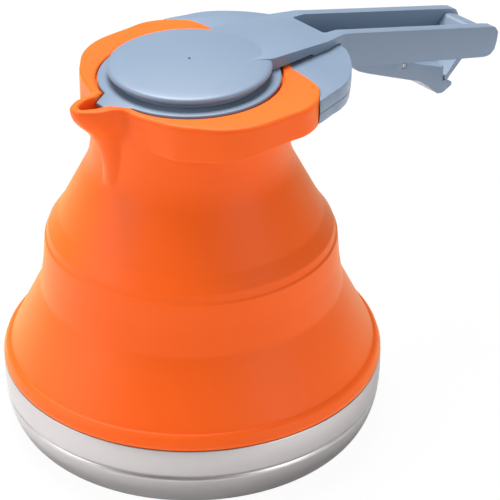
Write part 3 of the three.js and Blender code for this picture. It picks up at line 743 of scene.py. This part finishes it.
# %% Work out the outside
CREST_END, CREST_SPAN = 146, 12
KEEL_ANGLE, KEEL_SPREAD = 5, 5
FADE_END, FADE_SPAN = 44, 16
CONE_BLEND, SPOUT_BLEND, LEAST_BLEND = 0.8, 1.5, 0.01


def keel_reach(height):
    """How far the spout stands out from the neck at one height."""
    return LIP_REACH * smooth_table(KEEL, limited((height - NECK_FOOT) / (FLANGE_TOP - NECK_FOOT)))


def keel_angle(height):
    """Half the keel's width, in degrees."""
    return KEEL_ANGLE + KEEL_SPREAD * limited((height - NECK_FOOT) / (SKIRT_FOOT - NECK_FOOT))


def beak(angle, half_angle, sharpness=0):
    """The spout's section, from a full beak (0) to a sharp crest (1)."""
    u = angle / half_angle
    return smooth_table(BEAK, u) * (1 - sharpness) + smooth_table(CREST, u) * sharpness


def neck_radius(height):
    return smooth_max(on_cone(HIGH_CONE, height)[0], smooth_table(NECK, height), CONE_BLEND)


def outside_radius(angle, height, on_flange, inset=0):
    """Distance from the axis to the outside, at an angle from the spout and a height."""
    neck = neck_radius(height)
    base = neck
    if on_flange:
        fade = limited((FADE_END - angle) / FADE_SPAN)
        up = limited((height - SKIRT_FOOT) / (FLANGE_TOP - SKIRT_FOOT))
        base += (NECK_RADIUS + smooth_table(FLANGE, angle) - neck) * (1 - fade * (1 - up))
    sharpness = limited((CREST_END - height) / CREST_SPAN)
    spout = neck + keel_reach(height) * beak(angle, keel_angle(height), sharpness)
    return smooth_max(base, spout, min(SPOUT_BLEND, max(spout - neck, LEAST_BLEND))) - inset


print("spout's tip:", round(outside_radius(0, FLANGE_TOP, True), 2), "mm from the axis")

# %% [markdown]
# The inside has the open channel of the spout, and above it the mouth, which leaves room for the lid's
# plate. The plate has a blunt tab in front, so its edge is followed at a small gap. A plain round mouth
# would be simpler, but the tab would then cut into the silicone.

# %% Work out the inside
LID_EDGE, LID_TAB, TAB_HALF, TAB_ROOT, LID_GAP = 35.9, 42.5, 3.9, 8.5, 0.9
CHANNEL_ANGLE = 6.5


def inside_radius(angle, height, base):
    """Distance to the inside, which is round but for the spout's channel."""
    spout = neck_radius(height) + keel_reach(height) - LIP_WALL
    return base + max(0, spout - base) * beak(angle, CHANNEL_ANGLE)


def lid_edge(angle):
    """Distance from the axis to the edge of the lid's plate, which has a blunt tab in front."""
    turn_by = math.radians(angle)
    if turn_by > math.asin(TAB_ROOT / LID_EDGE):
        return LID_EDGE
    if turn_by < math.atan2(TAB_HALF, LID_TAB):
        return LID_TAB / math.cos(turn_by)
    run_x = math.sqrt(LID_EDGE ** 2 - TAB_ROOT ** 2) - LID_TAB
    run_y = TAB_ROOT - TAB_HALF
    return (LID_TAB * run_y - TAB_HALF * run_x) / (math.cos(turn_by) * run_y - math.sin(turn_by) * run_x)


def mouth_edge(angle, height=FLANGE_TOP):
    return max(inside_radius(angle, height, MOUTH), lid_edge(angle) + LID_GAP)


print("mouth at the tab:", round(mouth_edge(0), 2), "mm, at the side:", round(mouth_edge(90), 2), "mm")

# %% [markdown]
# A row is a function of the angle that gives a radius and a height. Level rows would do for a vase, but
# here the lip rises in front, the skirt's foot hangs lower there, and the flange's edges are rounded.
# Each of these is a small function that makes such rows.

# %% Describe the rows
DIP_START, CEILING = 127.0, SKIRT_FOOT - 0.2
WALL_FOOT, WALL_FOOT_GAP = SKIRT_FOOT - 0.1, 0.02
CEILING_EDGE, CEILING_BLEND, FOOT_BLEND = 1, 2, 1.5
EDGE_ROUND, LIP_SHARE, LIP_ANGLE, MIDDLE_SHIFT = 1.4, 0.75, 16, 0.5
MOUTH_ROUND, MOUTH_ANGLE, MOUTH_FALL, MOUTH_LEAST = 1.4, 12, 0.05, 0.8


def lip_rise(angle):
    return LIP_RISE * smooth_table(RISE, angle)


def at(height, on_flange=False):
    """A row that follows the outside at one height, lifted with the lip's rise on the flange."""
    share = max(0, height - SKIRT_FOOT) / (FLANGE_TOP - SKIRT_FOOT)
    return lambda a: (outside_radius(a, height, on_flange), height + lip_rise(a) * share)


def ceiling(angle, reach):
    """The underside between neck and skirt, which sinks into the skirt where there is room for it."""
    neck = outside_radius(angle, CEILING, False)
    skirt = max(neck, outside_radius(angle, CEILING, True) - SKIRT_WALL)
    depth = limited((skirt - neck - CEILING_EDGE) / CEILING_BLEND)
    return (neck + (skirt - neck) * reach, CEILING + (POCKET_TOP - SKIRT_FOOT) * depth)


def skirt_wall_foot(angle):
    """The inner foot of the skirt, never inside the neck."""
    pocket_edge = ceiling(angle, 1.0)[0]
    return (max(pocket_edge + WALL_FOOT_GAP, outside_radius(angle, WALL_FOOT, False)), WALL_FOOT)


def skirt_foot(inset, height):
    """A row on the skirt's rounded foot; near the spout, where the skirt dies out, there is no edge."""
    def place(a):
        skirt = outside_radius(a, height, True)
        room = max(skirt - outside_radius(a, height, False), 0)
        return (skirt - inset * min(room / FOOT_BLEND, 1), height)
    return place


def outer_rim(inset, drop):
    """A row on the flange's rounded outer edge; the spout's thinner lip has a smaller round."""
    def place(a):
        size = EDGE_ROUND * (LIP_SHARE if a < LIP_ANGLE else 1)
        return (outside_radius(a, FLANGE_TOP, True, inset * size), FLANGE_TOP - drop * size + lip_rise(a))
    return place


def flange_middle(angle):
    """A place on the flange's top, about halfway between its two rounded edges."""
    outer = outside_radius(angle, FLANGE_TOP, True, EDGE_ROUND)
    return ((outer + mouth_edge(angle)) / 2 + MIDDLE_SHIFT, FLANGE_TOP + lip_rise(angle))


def inner_rim(inset, drop):
    """A row on the mouth's rounded edge, which is rounder over the spout's channel."""
    def place(a):
        size = MOUTH_ROUND if a < MOUTH_ANGLE else max(
            MOUTH_LEAST, MOUTH_ROUND - (a - MOUTH_ANGLE) * MOUTH_FALL)
        return (mouth_edge(a) + inset * size, FLANGE_TOP - drop * size + lip_rise(a))
    return place


def lowered(row):
    """The skirt's foot hangs lower in front than at the collar, and pulls the wall around it along."""
    def place(a):
        radius, height = row(a)
        pull = (height - DIP_START) / (SKIRT_FOOT - DIP_START)
        if height > SKIRT_FOOT:
            pull = (FLANGE_TOP - height) / (FLANGE_TOP - SKIRT_FOOT)
        return (radius, height - smooth_table(DIP, a) * max(pull, 0))
    return place


print("lip's rise in front:", round(lip_rise(0), 2), "mm")

# %% [markdown]
# The rows run up the outside of the neck, into the pocket behind the skirt, round the skirt's foot, up
# to the flange, over its two edges, and down the inside. They lie close where the form bends and wide
# where it is plain, which gives a smooth look for few faces.

# %% List the rows
NECK_HEIGHTS = [
    NECK_CUT, NECK_CUT + LEAD, 114, 115, 116, 117, 118, 119, 120, 121.5, 123, 125, 127, 129, 131, 133, 135,
    137, 138.5, 139.8, SKIRT_FOOT - 0.3,
]
SKIRT_HEIGHTS = [
    SKIRT_FOOT + 0.5, SKIRT_FOOT + 1.0, SKIRT_FOOT + 1.6, 143.5, 145, 146.5, 148, 149.3, 149.9, 150.5,
]
FOOT_ROUND = ((0.6, 0), (0.2, 0.15))
THROAT_HEIGHTS, THROAT_WALL = (143, 138, 132, 125, 119), WALL + 0.2
OUTER_STEPS, INNER_STEPS, SEAT_EDGE, SEAT_FOOT = 7, 5, 0.2, 146


def throat_row(height):
    return lambda a: (inside_radius(a, height, neck_radius(height) - THROAT_WALL), height)


rows = [at(height) for height in NECK_HEIGHTS]
rows.append(lambda a: ceiling(a, 0.0))
rows.append(lambda a: ceiling(a, 1.0))
rows.append(skirt_wall_foot)
rows += [skirt_foot(inset, SKIRT_FOOT + rise) for inset, rise in FOOT_ROUND]
rows += [at(height, True) for height in SKIRT_HEIGHTS]
rows = [lowered(row) for row in rows]
for step in range(1, OUTER_STEPS + 1):
    turn_by = step / OUTER_STEPS * math.pi / 2
    rows.append(outer_rim(1 - math.cos(turn_by), 1 - math.sin(turn_by)))
rows.append(flange_middle)
for step in range(INNER_STEPS + 1):
    turn_by = step / INNER_STEPS * math.pi / 2
    rows.append(inner_rim(1 - math.sin(turn_by), 1 - math.cos(turn_by)))
rows.append(lambda a: (mouth_edge(a, SEAT_TOP + SEAT_EDGE), SEAT_TOP + SEAT_EDGE))
rows.append(lambda a: (inside_radius(a, SEAT_TOP - SEAT_EDGE, SEAT), SEAT_TOP - SEAT_EDGE))
rows.append(lambda a: (inside_radius(a, SEAT_FOOT, SEAT), SEAT_FOOT))
rows += [throat_row(height) for height in THROAT_HEIGHTS]
rows.append(lambda a: (neck_radius(NECK_CUT) - WALL, NECK_CUT))
rows.append(rows[0])
print("rows:", len(rows))

# %% [markdown]
# A flat grid has just the right faces: one line of vertices for each row. Each vertex is moved to its
# place, then the two ends of the grid are merged, and the skin is closed. The columns lie closest round
# the spout, where the outline turns sharply.

# %% Wrap the grid
SPOUT_STEP, FRONT_STEP, SIDE_STEP = 0.6, 1.5, 2.5
SPOUT_END, FRONT_END = 16, 40
GRID_SIZE, GRID_MERGE_DISTANCE = 0.1, 0.000001

half_turn = []
angle = 0.0
while angle < 180:
    half_turn.append(angle)
    angle += SPOUT_STEP if angle < SPOUT_END else (FRONT_STEP if angle < FRONT_END else SIDE_STEP)
half_turn.append(180.0)
directions = [-a for a in reversed(half_turn[1:])] + half_turn
columns = len(directions)
start_empty()
bpy.ops.mesh.primitive_grid_add(x_subdivisions=columns - 1, y_subdivisions=len(rows) - 1, size=GRID_SIZE)
neck = bpy.context.object
neck.name = "silicone_neck"
for row, ring in enumerate(rows):
    for column, direction in enumerate(directions):
        radius, height = ring(abs(direction))
        turn_by = math.pi + math.radians(direction)
        neck.data.vertices[row * columns + column].co = (
            radius * math.cos(turn_by) * MM, radius * math.sin(turn_by) * MM, height * MM)
bpy.ops.object.mode_set(mode="EDIT")
bpy.ops.mesh.select_all(action="SELECT")
bpy.ops.mesh.remove_doubles(threshold=GRID_MERGE_DISTANCE)
close_shell()
print("neck grid:", len(rows), "rows of", columns)

# %% [markdown]
# Behind the mouth the flange stops at a curved border, and the collar takes its place. The rows could
# stop there too, but then every one would need an end of its own. It is easier to leave them round and
# to cut the flange away behind the border. A rod keeps the cutter clear of the neck's own wall.

# %% Cut the room for the collar
BORDER = [
    (21.5, 52.0), (25.2, 47.8), (29.4, 43.5), (32.4, 39.0), (33.5, 34.4), (34.2, 29.0), (34.6, 24.0),
    (34.6, 18.0),
]
BORDER_GAP, ROOM_END, ROOM_SIDE, ROOM_TOP = 0.3, 90, 52, 170
HUB_GAP, HUB_FOOT, HUB_TOP = 0.02, 120, 180


def through(points, steps=8):
    """A smooth curve through points, as a list of more points."""
    line = []
    for index in range(len(points) - 1):
        p0 = Vector(points[max(index - 1, 0)])
        p1, p2 = Vector(points[index]), Vector(points[index + 1])
        p3 = Vector(points[min(index + 2, len(points) - 1)])
        for step in range(steps):
            t = step / steps
            line.append(0.5 * (
                2 * p1 + (p2 - p0) * t + (2 * p0 - 5 * p1 + 4 * p2 - p3) * t * t
                + (3 * p1 - p0 - 3 * p2 + p3) * t ** 3))
    line.append(Vector(points[-1]))
    return [(point[0], point[1]) for point in line]


def border_line(gap):
    """The border from the left end over the middle to the right end, moved forwards by a gap."""
    half = [(x - gap, y) for x, y in through(BORDER, steps=5)]
    return half + [(x, -y) for x, y in reversed(half)]


room_plan = border_line(BORDER_GAP) + [(ROOM_END, -ROOM_SIDE), (ROOM_END, ROOM_SIDE)]
room = plate("collar_room", room_plan, SKIRT_FOOT - BORDER_GAP, ROOM_TOP)
cut(room, rod("hub", NECK_RADIUS + HUB_GAP, HUB_FOOT, HUB_TOP, steps=160))
cut(neck, room)
finish_piece(neck, silicone, "top", ["body_neck"], angle=40)

# %% [markdown]
# The collar is two clam-like halves in plastic, screwed together under the flange. Seen from above, the
# cover's rear edge is one easy curve. It could be an ellipse, but the real one is fuller at the corners,
# so it is drawn through a few measured points and extruded. A lug and a tang behind it carry the arm.

# %% Draw and extrude the collar
YOKE_TOP, YOKE_FOOT, YOKE_SPLIT, SPLIT_GAP = 152.0, 141.7, 146.4, 0.06
REAR_EDGE = [
    (25.2, 48.3), (29.0, 47.4), (34.5, 45.8), (40.0, 44.4), (46.4, 41.2), (53.0, 35.6), (57.0, 31.1),
    (61.3, 24.9), (63.9, 19.2), (64.6, 10.0), (64.8, 0),
]
YOKE_END, THROAT_GAP, THROAT_FOOT = 47.6, 0.3, 130
ARM_START, ARM_STEP, ARM_POINTS = 54, 4, 24
LUG_DROP, TANG_HALF = 3.5, 6.5
LUG_PLAN = [
    (58.0, 8.8), (65.5, 8.8, 2.5), (69.6, 7.4, 2.5), (71.8, 4.2, 2.5), (72.3, 0, 2.5), (71.8, -4.2, 2.5),
    (69.6, -7.4, 2.5), (65.5, -8.8, 2.5), (58.0, -8.8),
]
TANG_SIDE = [
    (64.6, 147.0), (71.0, 147.5, 3), (77.3, 141.2, 3), (100.1, 131.4), (112.0, 127.3, 1), (111.5, 122.2, 1),
    (100.2, 127.0), (86.9, 132.6), (80.8, 135.3, 2), (75.8, 138.3, 2), (70.0, 143.9), (64.6, 143.9),
]


def yoke_plan():
    half = through(REAR_EDGE, steps=6)
    outer = half + [(x, -y) for x, y in reversed(half[:-1])]
    inner = [(x, y) for x, y in border_line(0) if abs(y) < YOKE_END]
    return outer + list(reversed(inner))


def arm_plan(side_sign):
    """One of the yoke's two arms, which lie round the neck inside the skirt."""
    angles = [ARM_START + ARM_STEP * step for step in range(ARM_POINTS)]
    outer = [
        (math.radians(180 - a), NECK_RADIUS + smooth_table(FLANGE, a) - SKIRT_WALL - THROAT_GAP)
        for a in angles
    ]
    inner = [(turn_by, NECK_RADIUS + THROAT_GAP) for turn_by, _ in reversed(outer)]
    return [(r * math.cos(turn_by), side_sign * r * math.sin(turn_by)) for turn_by, r in outer + inner]


def throat(name):
    return rod(name, NECK_RADIUS + THROAT_GAP, THROAT_FOOT, ROOM_TOP, steps=160)


cover = plate("collar_cover_shell", yoke_plan(), YOKE_SPLIT + SPLIT_GAP, YOKE_TOP)
soften(cover, 1.1, segments=4, angle=50)
cut(cover, throat("cover_throat"))
for label, side_sign in (("left", 1), ("right", -1)):
    yoke_arm = plate(f"yoke_arm_{label}", arm_plan(side_sign), YOKE_FOOT, POCKET_TOP - THROAT_GAP)
    weld(cover, yoke_arm)
lug = plate("lug", rounded(LUG_PLAN), YOKE_FOOT, YOKE_TOP - LUG_DROP)
soften(lug, 1.2, angle=50)
weld(cover, lug)
tang = bar("tang", rounded(TANG_SIDE), TANG_HALF)
soften(tang, 0.5, segments=2, angle=50)
weld(cover, tang)
finish_piece(cover, plastic, "top", ["collar_cover"])

# %% [markdown]
# The lower half has the same plan. It is drawn at the split and pulled down, and then its foot is drawn
# in a little, as the draft of a mould does. A straight side would be as bright as the cover's, while a
# drafted one turns away from the light below the split line.

# %% Pull down the lower half
DRAFT, DRAFT_CENTRE, FOOT_REACH = (0.992, 0.988, 1), (0.03, 0, YOKE_FOOT * MM), 0.1
LUG_ROOM = [(57.6, -9.2), (80, -9.2), (80, 9.2), (57.6, 9.2)]
LUG_ROOM_FOOT, LUG_ROOM_TOP = 140, 150

lower_half = plate("collar_lower_half", yoke_plan(), YOKE_SPLIT - SPLIT_GAP, YOKE_FOOT)
bpy.ops.object.mode_set(mode="EDIT")
bpy.ops.mesh.select_all(action="DESELECT")
bpy.ops.object.mode_set(mode="OBJECT")
for face in lower_half.data.polygons:
    face.select = face.center.z < (YOKE_FOOT + FOOT_REACH) * MM
bpy.ops.object.mode_set(mode="EDIT")
bpy.ops.mesh.select_mode(type="FACE")
bpy.ops.transform.resize(value=DRAFT, center_override=DRAFT_CENTRE)
bpy.ops.mesh.select_mode(type="VERT")
bpy.ops.object.mode_set(mode="OBJECT")
soften(lower_half, 0.45, angle=50)
cut(lower_half, throat("lower_throat"))
cut(lower_half, plate("lug_room", rounded(LUG_ROOM), LUG_ROOM_FOOT, LUG_ROOM_TOP))
finish_piece(lower_half, plastic, "top", ["collar_lower_ring"])

# %% [markdown]
# The lower arm is a channel, open on top, with a solid hooked end. It slopes down with the rails above
# it, so its corners are measured along the rails and down from their top line. The channel could be left
# open in the outline, but the hooked end is solid, so it is cut out with a narrower bar.

# %% Draw the lower arm
KINK = (67.9, 155.2)
SLOPE = math.radians(14.7)
ARM_HALF, CHANNEL_HALF, PIN_HOLE_RADIUS, PIN_HOLE_REACH = 9.2, 6.8, 1.35, 20


def along(distance, drop):
    """A point at a distance along the rails and below their top line, in millimetres."""
    return (
        KINK[0] + distance * math.cos(SLOPE) - drop * math.sin(SLOPE),
        KINK[1] - distance * math.sin(SLOPE) - drop * math.cos(SLOPE),
    )


HINGE = along(73.6, 23.7)
PIN_PLACE = along(46.2, 17.8)
HOOK_HALF = 1.6
arm_outline = [
    (*along(8.2, 12.0), 1), (*along(42.2, 15.0), 8), (*along(56.0, 17.5), 8), (*along(69.4, 19.2), 0.8),
    (HINGE[0] - HOOK_HALF, along(69.4, 19.2)[1], 0), (HINGE[0] - HOOK_HALF, HINGE[1] - HOOK_HALF, 0),
    (HINGE[0] + 0.3, HINGE[1] - HOOK_HALF, 0.8), (*along(78.3, 26.2), 1.4), (*along(78.7, 27.8), 0.8),
    (*along(76.7, 29.4), 1.5), (*along(74.2, 31.2), 1.5), (*along(71.1, 31.5), 2), (*along(65.9, 28.7), 3),
    (*along(57.9, 25.1), 4), (*along(52.1, 24.4), 4), (*along(39.3, 22.4), 6), (*along(24.8, 20.1), 6),
    (*along(19.2, 18.9), 4), (*along(12.9, 15.8), 2), (*along(9.0, 14.8), 0.6),
]
channel_outline = [
    along(-4, 13.5), along(12.5, 13.5), along(19.2, 16.6), along(24.8, 17.8), along(39.3, 20.1),
    along(49.9, 21.5), (*along(56.0, 22.4), 2), (*along(57.5, 10), 0), along(-4, 8),
]
arm = bar("lower_arm", rounded(arm_outline, steps=4), ARM_HALF)
cut(arm, bar("channel", rounded(channel_outline), CHANNEL_HALF))
pin_hole = rod("pin_hole", PIN_HOLE_RADIUS, -PIN_HOLE_REACH, PIN_HOLE_REACH, steps=24)
lay_across(pin_hole, PIN_PLACE)
cut(arm, pin_hole)
soften(arm, 0.5)
finish_piece(arm, plastic, "top", ["handle_arm"])

# %% [markdown]
# A small steel pin holds the arm to the collar's tang. Its round end shows as a ring on the arm's side. A
# cylinder would show a flat disc, so it is spun as a rod with a small hollow in each end, and then laid
# across.

# %% Spin the cross pin
PIN_END, HOLLOW_FLOOR, PIN_CHAMFER = 9.2, 8.7, 9.1
end_section = [
    (0, HOLLOW_FLOOR), (0.55, HOLLOW_FLOOR), (0.62, PIN_CHAMFER), (0.8, PIN_END), (1.0, PIN_CHAMFER),
]
pin_section = [(radius, -height) for radius, height in end_section] + list(reversed(end_section))
pin = spun("cross_pin", pin_section, steps=32)
lay_across(pin, PIN_PLACE)
finish_piece(pin, screw_steel, "top", ["arm_cross_pin"])

# %% [markdown]
# The lid and its handle are one moulding. The cap is a shallow dome with a soft edge and a small hole
# that lets steam out. A flattened sphere would be too full at the edge, so the section is drawn: a
# parabola for the dome, and single points where the edge turns under. Three bosses below take the screws.

# %% Spin the lid's cap
CAP_RADIUS, CAP_FOOT, CAP_TOP, CAP_FALL = 32.3, 153.3, 159.9, 1.92
DOME_STEPS, DOME_SHARE = 14, 0.9
VENT_RADIUS, VENT_FOOT, VENT_TOP = 0.6, 150, 170
BOSS_COUNT, BOSS_PLACE, BOSS_TOP, BOSS_BORE, BOSS_RADIUS = 3, 20.5, 157.4, 1.5, 3.4

dome = [(0, CAP_TOP)]
for step in range(1, DOME_STEPS + 1):
    share = step / DOME_STEPS * DOME_SHARE
    dome.append((CAP_RADIUS * share, CAP_TOP - CAP_FALL * share ** 2))
edge = [
    (30.3, 158.1), (31.1, 157.95), (31.75, 157.65), (32.15, 157.2), (CAP_RADIUS, 156.7), (32.2, 156.25),
    (31.8, 155.85), (31.0, 155.5), (30.2, 155.2), (29.6, 154.8), (29.4, 154.3), (29.4, CAP_FOOT),
]
under = [(28.3, CAP_FOOT), (28.2, 155.3), (26, 156.2), (20, 157.0), (10, 157.6), (0, 157.8)]
cap = spun("lid_cap", dome + edge + under, steps=144)
cut(cap, rod("vent", VENT_RADIUS, VENT_FOOT, VENT_TOP, steps=24))
for index in range(BOSS_COUNT):
    turn_by = index / BOSS_COUNT * math.tau
    boss = spun(f"boss_{index}", [
        (BOSS_BORE, CAP_FOOT), (BOSS_RADIUS, CAP_FOOT), (BOSS_RADIUS, BOSS_TOP), (BOSS_BORE, BOSS_TOP),
    ], steps=32)
    for vertex in boss.data.vertices:
        vertex.co.x += BOSS_PLACE * math.cos(turn_by) * MM
        vertex.co.y += BOSS_PLACE * math.sin(turn_by) * MM
    finish_piece(boss, plastic, "lid")
finish_piece(cap, plastic, "lid", ["lid_with_handle"])

# %% [markdown]
# A flat tongue leaves the cap, bends down at the collar's rear and splits into two rails. Rails could be
# made one by one and welded on, but they and the tongue share one outline from the side. So the whole is
# drawn as a bar, its flanks are cut to their plan, and the slot between the rails is cut last.

# %% Draw the tongue and the rails
HALF_WIDTH, ROOT_WIDTH, SLOT_HALF = 14.6, 18.8, 9.75
SLOT_START, SLOT_END, SLOT_CORNER = 61.5, 190, 1.6
CUTTER_FOOT, CUTTER_TOP = 90, 180
FLANK = [
    (17.6, 14.6), (26.7, 18.6), (57.0, 17.2), (67.9, 14.9), (74, HALF_WIDTH), (200, HALF_WIDTH), (200, 30),
    (17.6, 30),
]
loop_outline = [
    (17.7, CAP_FOOT), (48.1, CAP_FOOT, 0.4), (49.1, 152.3, 0.4), (65.3, 152.3, 0.5),
    (*along(-1.05, 5.74), 1.2), (*along(7.0, 14.85), 1.5), (*along(89.2, 13.65), 3),
    (*along(92.4, 12.9), 3), (*along(94.6, 10.4), 2.5),
    (*along(94.8, 6.5), 3), (*along(94.3, 2.4), 1.5), (*along(91.8, 0.2), 1), (*along(88.0, 0), 2),
    (*KINK, 2), (17.7, 158.95),
]
slot_plan = [
    (SLOT_START, -SLOT_HALF, SLOT_CORNER), (SLOT_END, -SLOT_HALF), (SLOT_END, SLOT_HALF),
    (SLOT_START, SLOT_HALF, SLOT_CORNER),
]
loop = bar("lid_loop", rounded(loop_outline), ROOT_WIDTH)
for side_sign in (1, -1):
    cut(loop, plate("flank", [(x, side_sign * y) for x, y in FLANK], CUTTER_FOOT, CUTTER_TOP))
cut(loop, plate("slot_cutter", rounded(slot_plan), CUTTER_FOOT, CUTTER_TOP))
soften(loop, 0.8, segments=4)
finish_piece(loop, plastic, "lid")

# %% [markdown]
# A thin bent web joins the rails at their end and turns down between them. Its lower edge is a round
# bead that sits in the hook of the lower arm. A bent sheet could be given a thickness, but each corner
# of the web has its own rounding, so its side is drawn and extruded, and a rod is welded on as the bead.

# %% Draw the web
WEB_HALF, BEAD_RADIUS = 1.1, 1.3
WEB_WIDTH = SLOT_HALF + 0.2

hinge = Vector(HINGE)
web_top = Vector(along(86.4, 2.2))
run = web_top - hinge
across = Vector((run[1], -run[0])).normalized() * WEB_HALF
web_outline = [
    (*(hinge - across), 0), (*(web_top - across), 3), (*along(92.2, 2.2), 0.8), (*along(92.4, 4.6), 0.8),
    (*along(88.3, 4.5), 2), (*(hinge + across), 0),
]
web = bar("lid_web", rounded(web_outline), WEB_WIDTH)
bead_rod = rod("bead_rod", BEAD_RADIUS, -WEB_WIDTH, WEB_WIDTH, steps=32)
lay_across(bead_rod, HINGE)
weld(web, bead_rod)
finish_piece(web, plastic, "lid")

# %% [markdown]
# Under the cap lies the lid's plate. It is a flat disc whose front runs out to a blunt tab over the
# spout, and a ring below it plugs the mouth. A cylinder has no tab, so the plan is drawn from the same
# four sizes that left room for it in the mouth.

# %% Draw the lid's plate
DISC_STEPS, TAB_CORNER, DISC_FOOT, DISC_TOP = 72, 0.8, 150.9, 153.0
PLUG = [(30.2, 146.6), (33.2, 146.6), (33.2, 147.4), (32.4, 148.2), (32.4, 151.5), (30.2, 151.5)]

root = math.asin(TAB_ROOT / LID_EDGE)
disc_plan = [(-LID_TAB, TAB_HALF, TAB_CORNER)]
for step in range(DISC_STEPS + 1):
    turn_by = math.pi - root - (math.tau - 2 * root) * step / DISC_STEPS
    disc_plan.append((LID_EDGE * math.cos(turn_by), LID_EDGE * math.sin(turn_by), 0))
disc_plan.append((-LID_TAB, -TAB_HALF, TAB_CORNER))
lid_disc = plate("lid_disc", rounded(disc_plan, steps=4), DISC_FOOT, DISC_TOP)
soften(lid_disc, 0.5, angle=50)
weld(lid_disc, spun("plug", PLUG))
finish_piece(lid_disc, plastic, "lid", ["lid_plate"])

# %% [markdown]
# The retaining ring and the collar's screws never show, and the gasket and the lid's screws only when the
# lid is open. They could be modelled again, but their plain frame solids are already right in shape. So
# they keep those, and get only their finish.

# %% Finish the hidden pieces
HIDDEN_FINISHES = {"pan_retaining_ring": pan_steel, "lid_gasket": seal_silicone}

for name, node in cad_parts.items():
    material = screw_steel if "screw" in name else HIDDEN_FINISHES.get(name)
    if material:
        node.data.materials.clear()
        node.data.materials.append(material)
        print("finished", name)
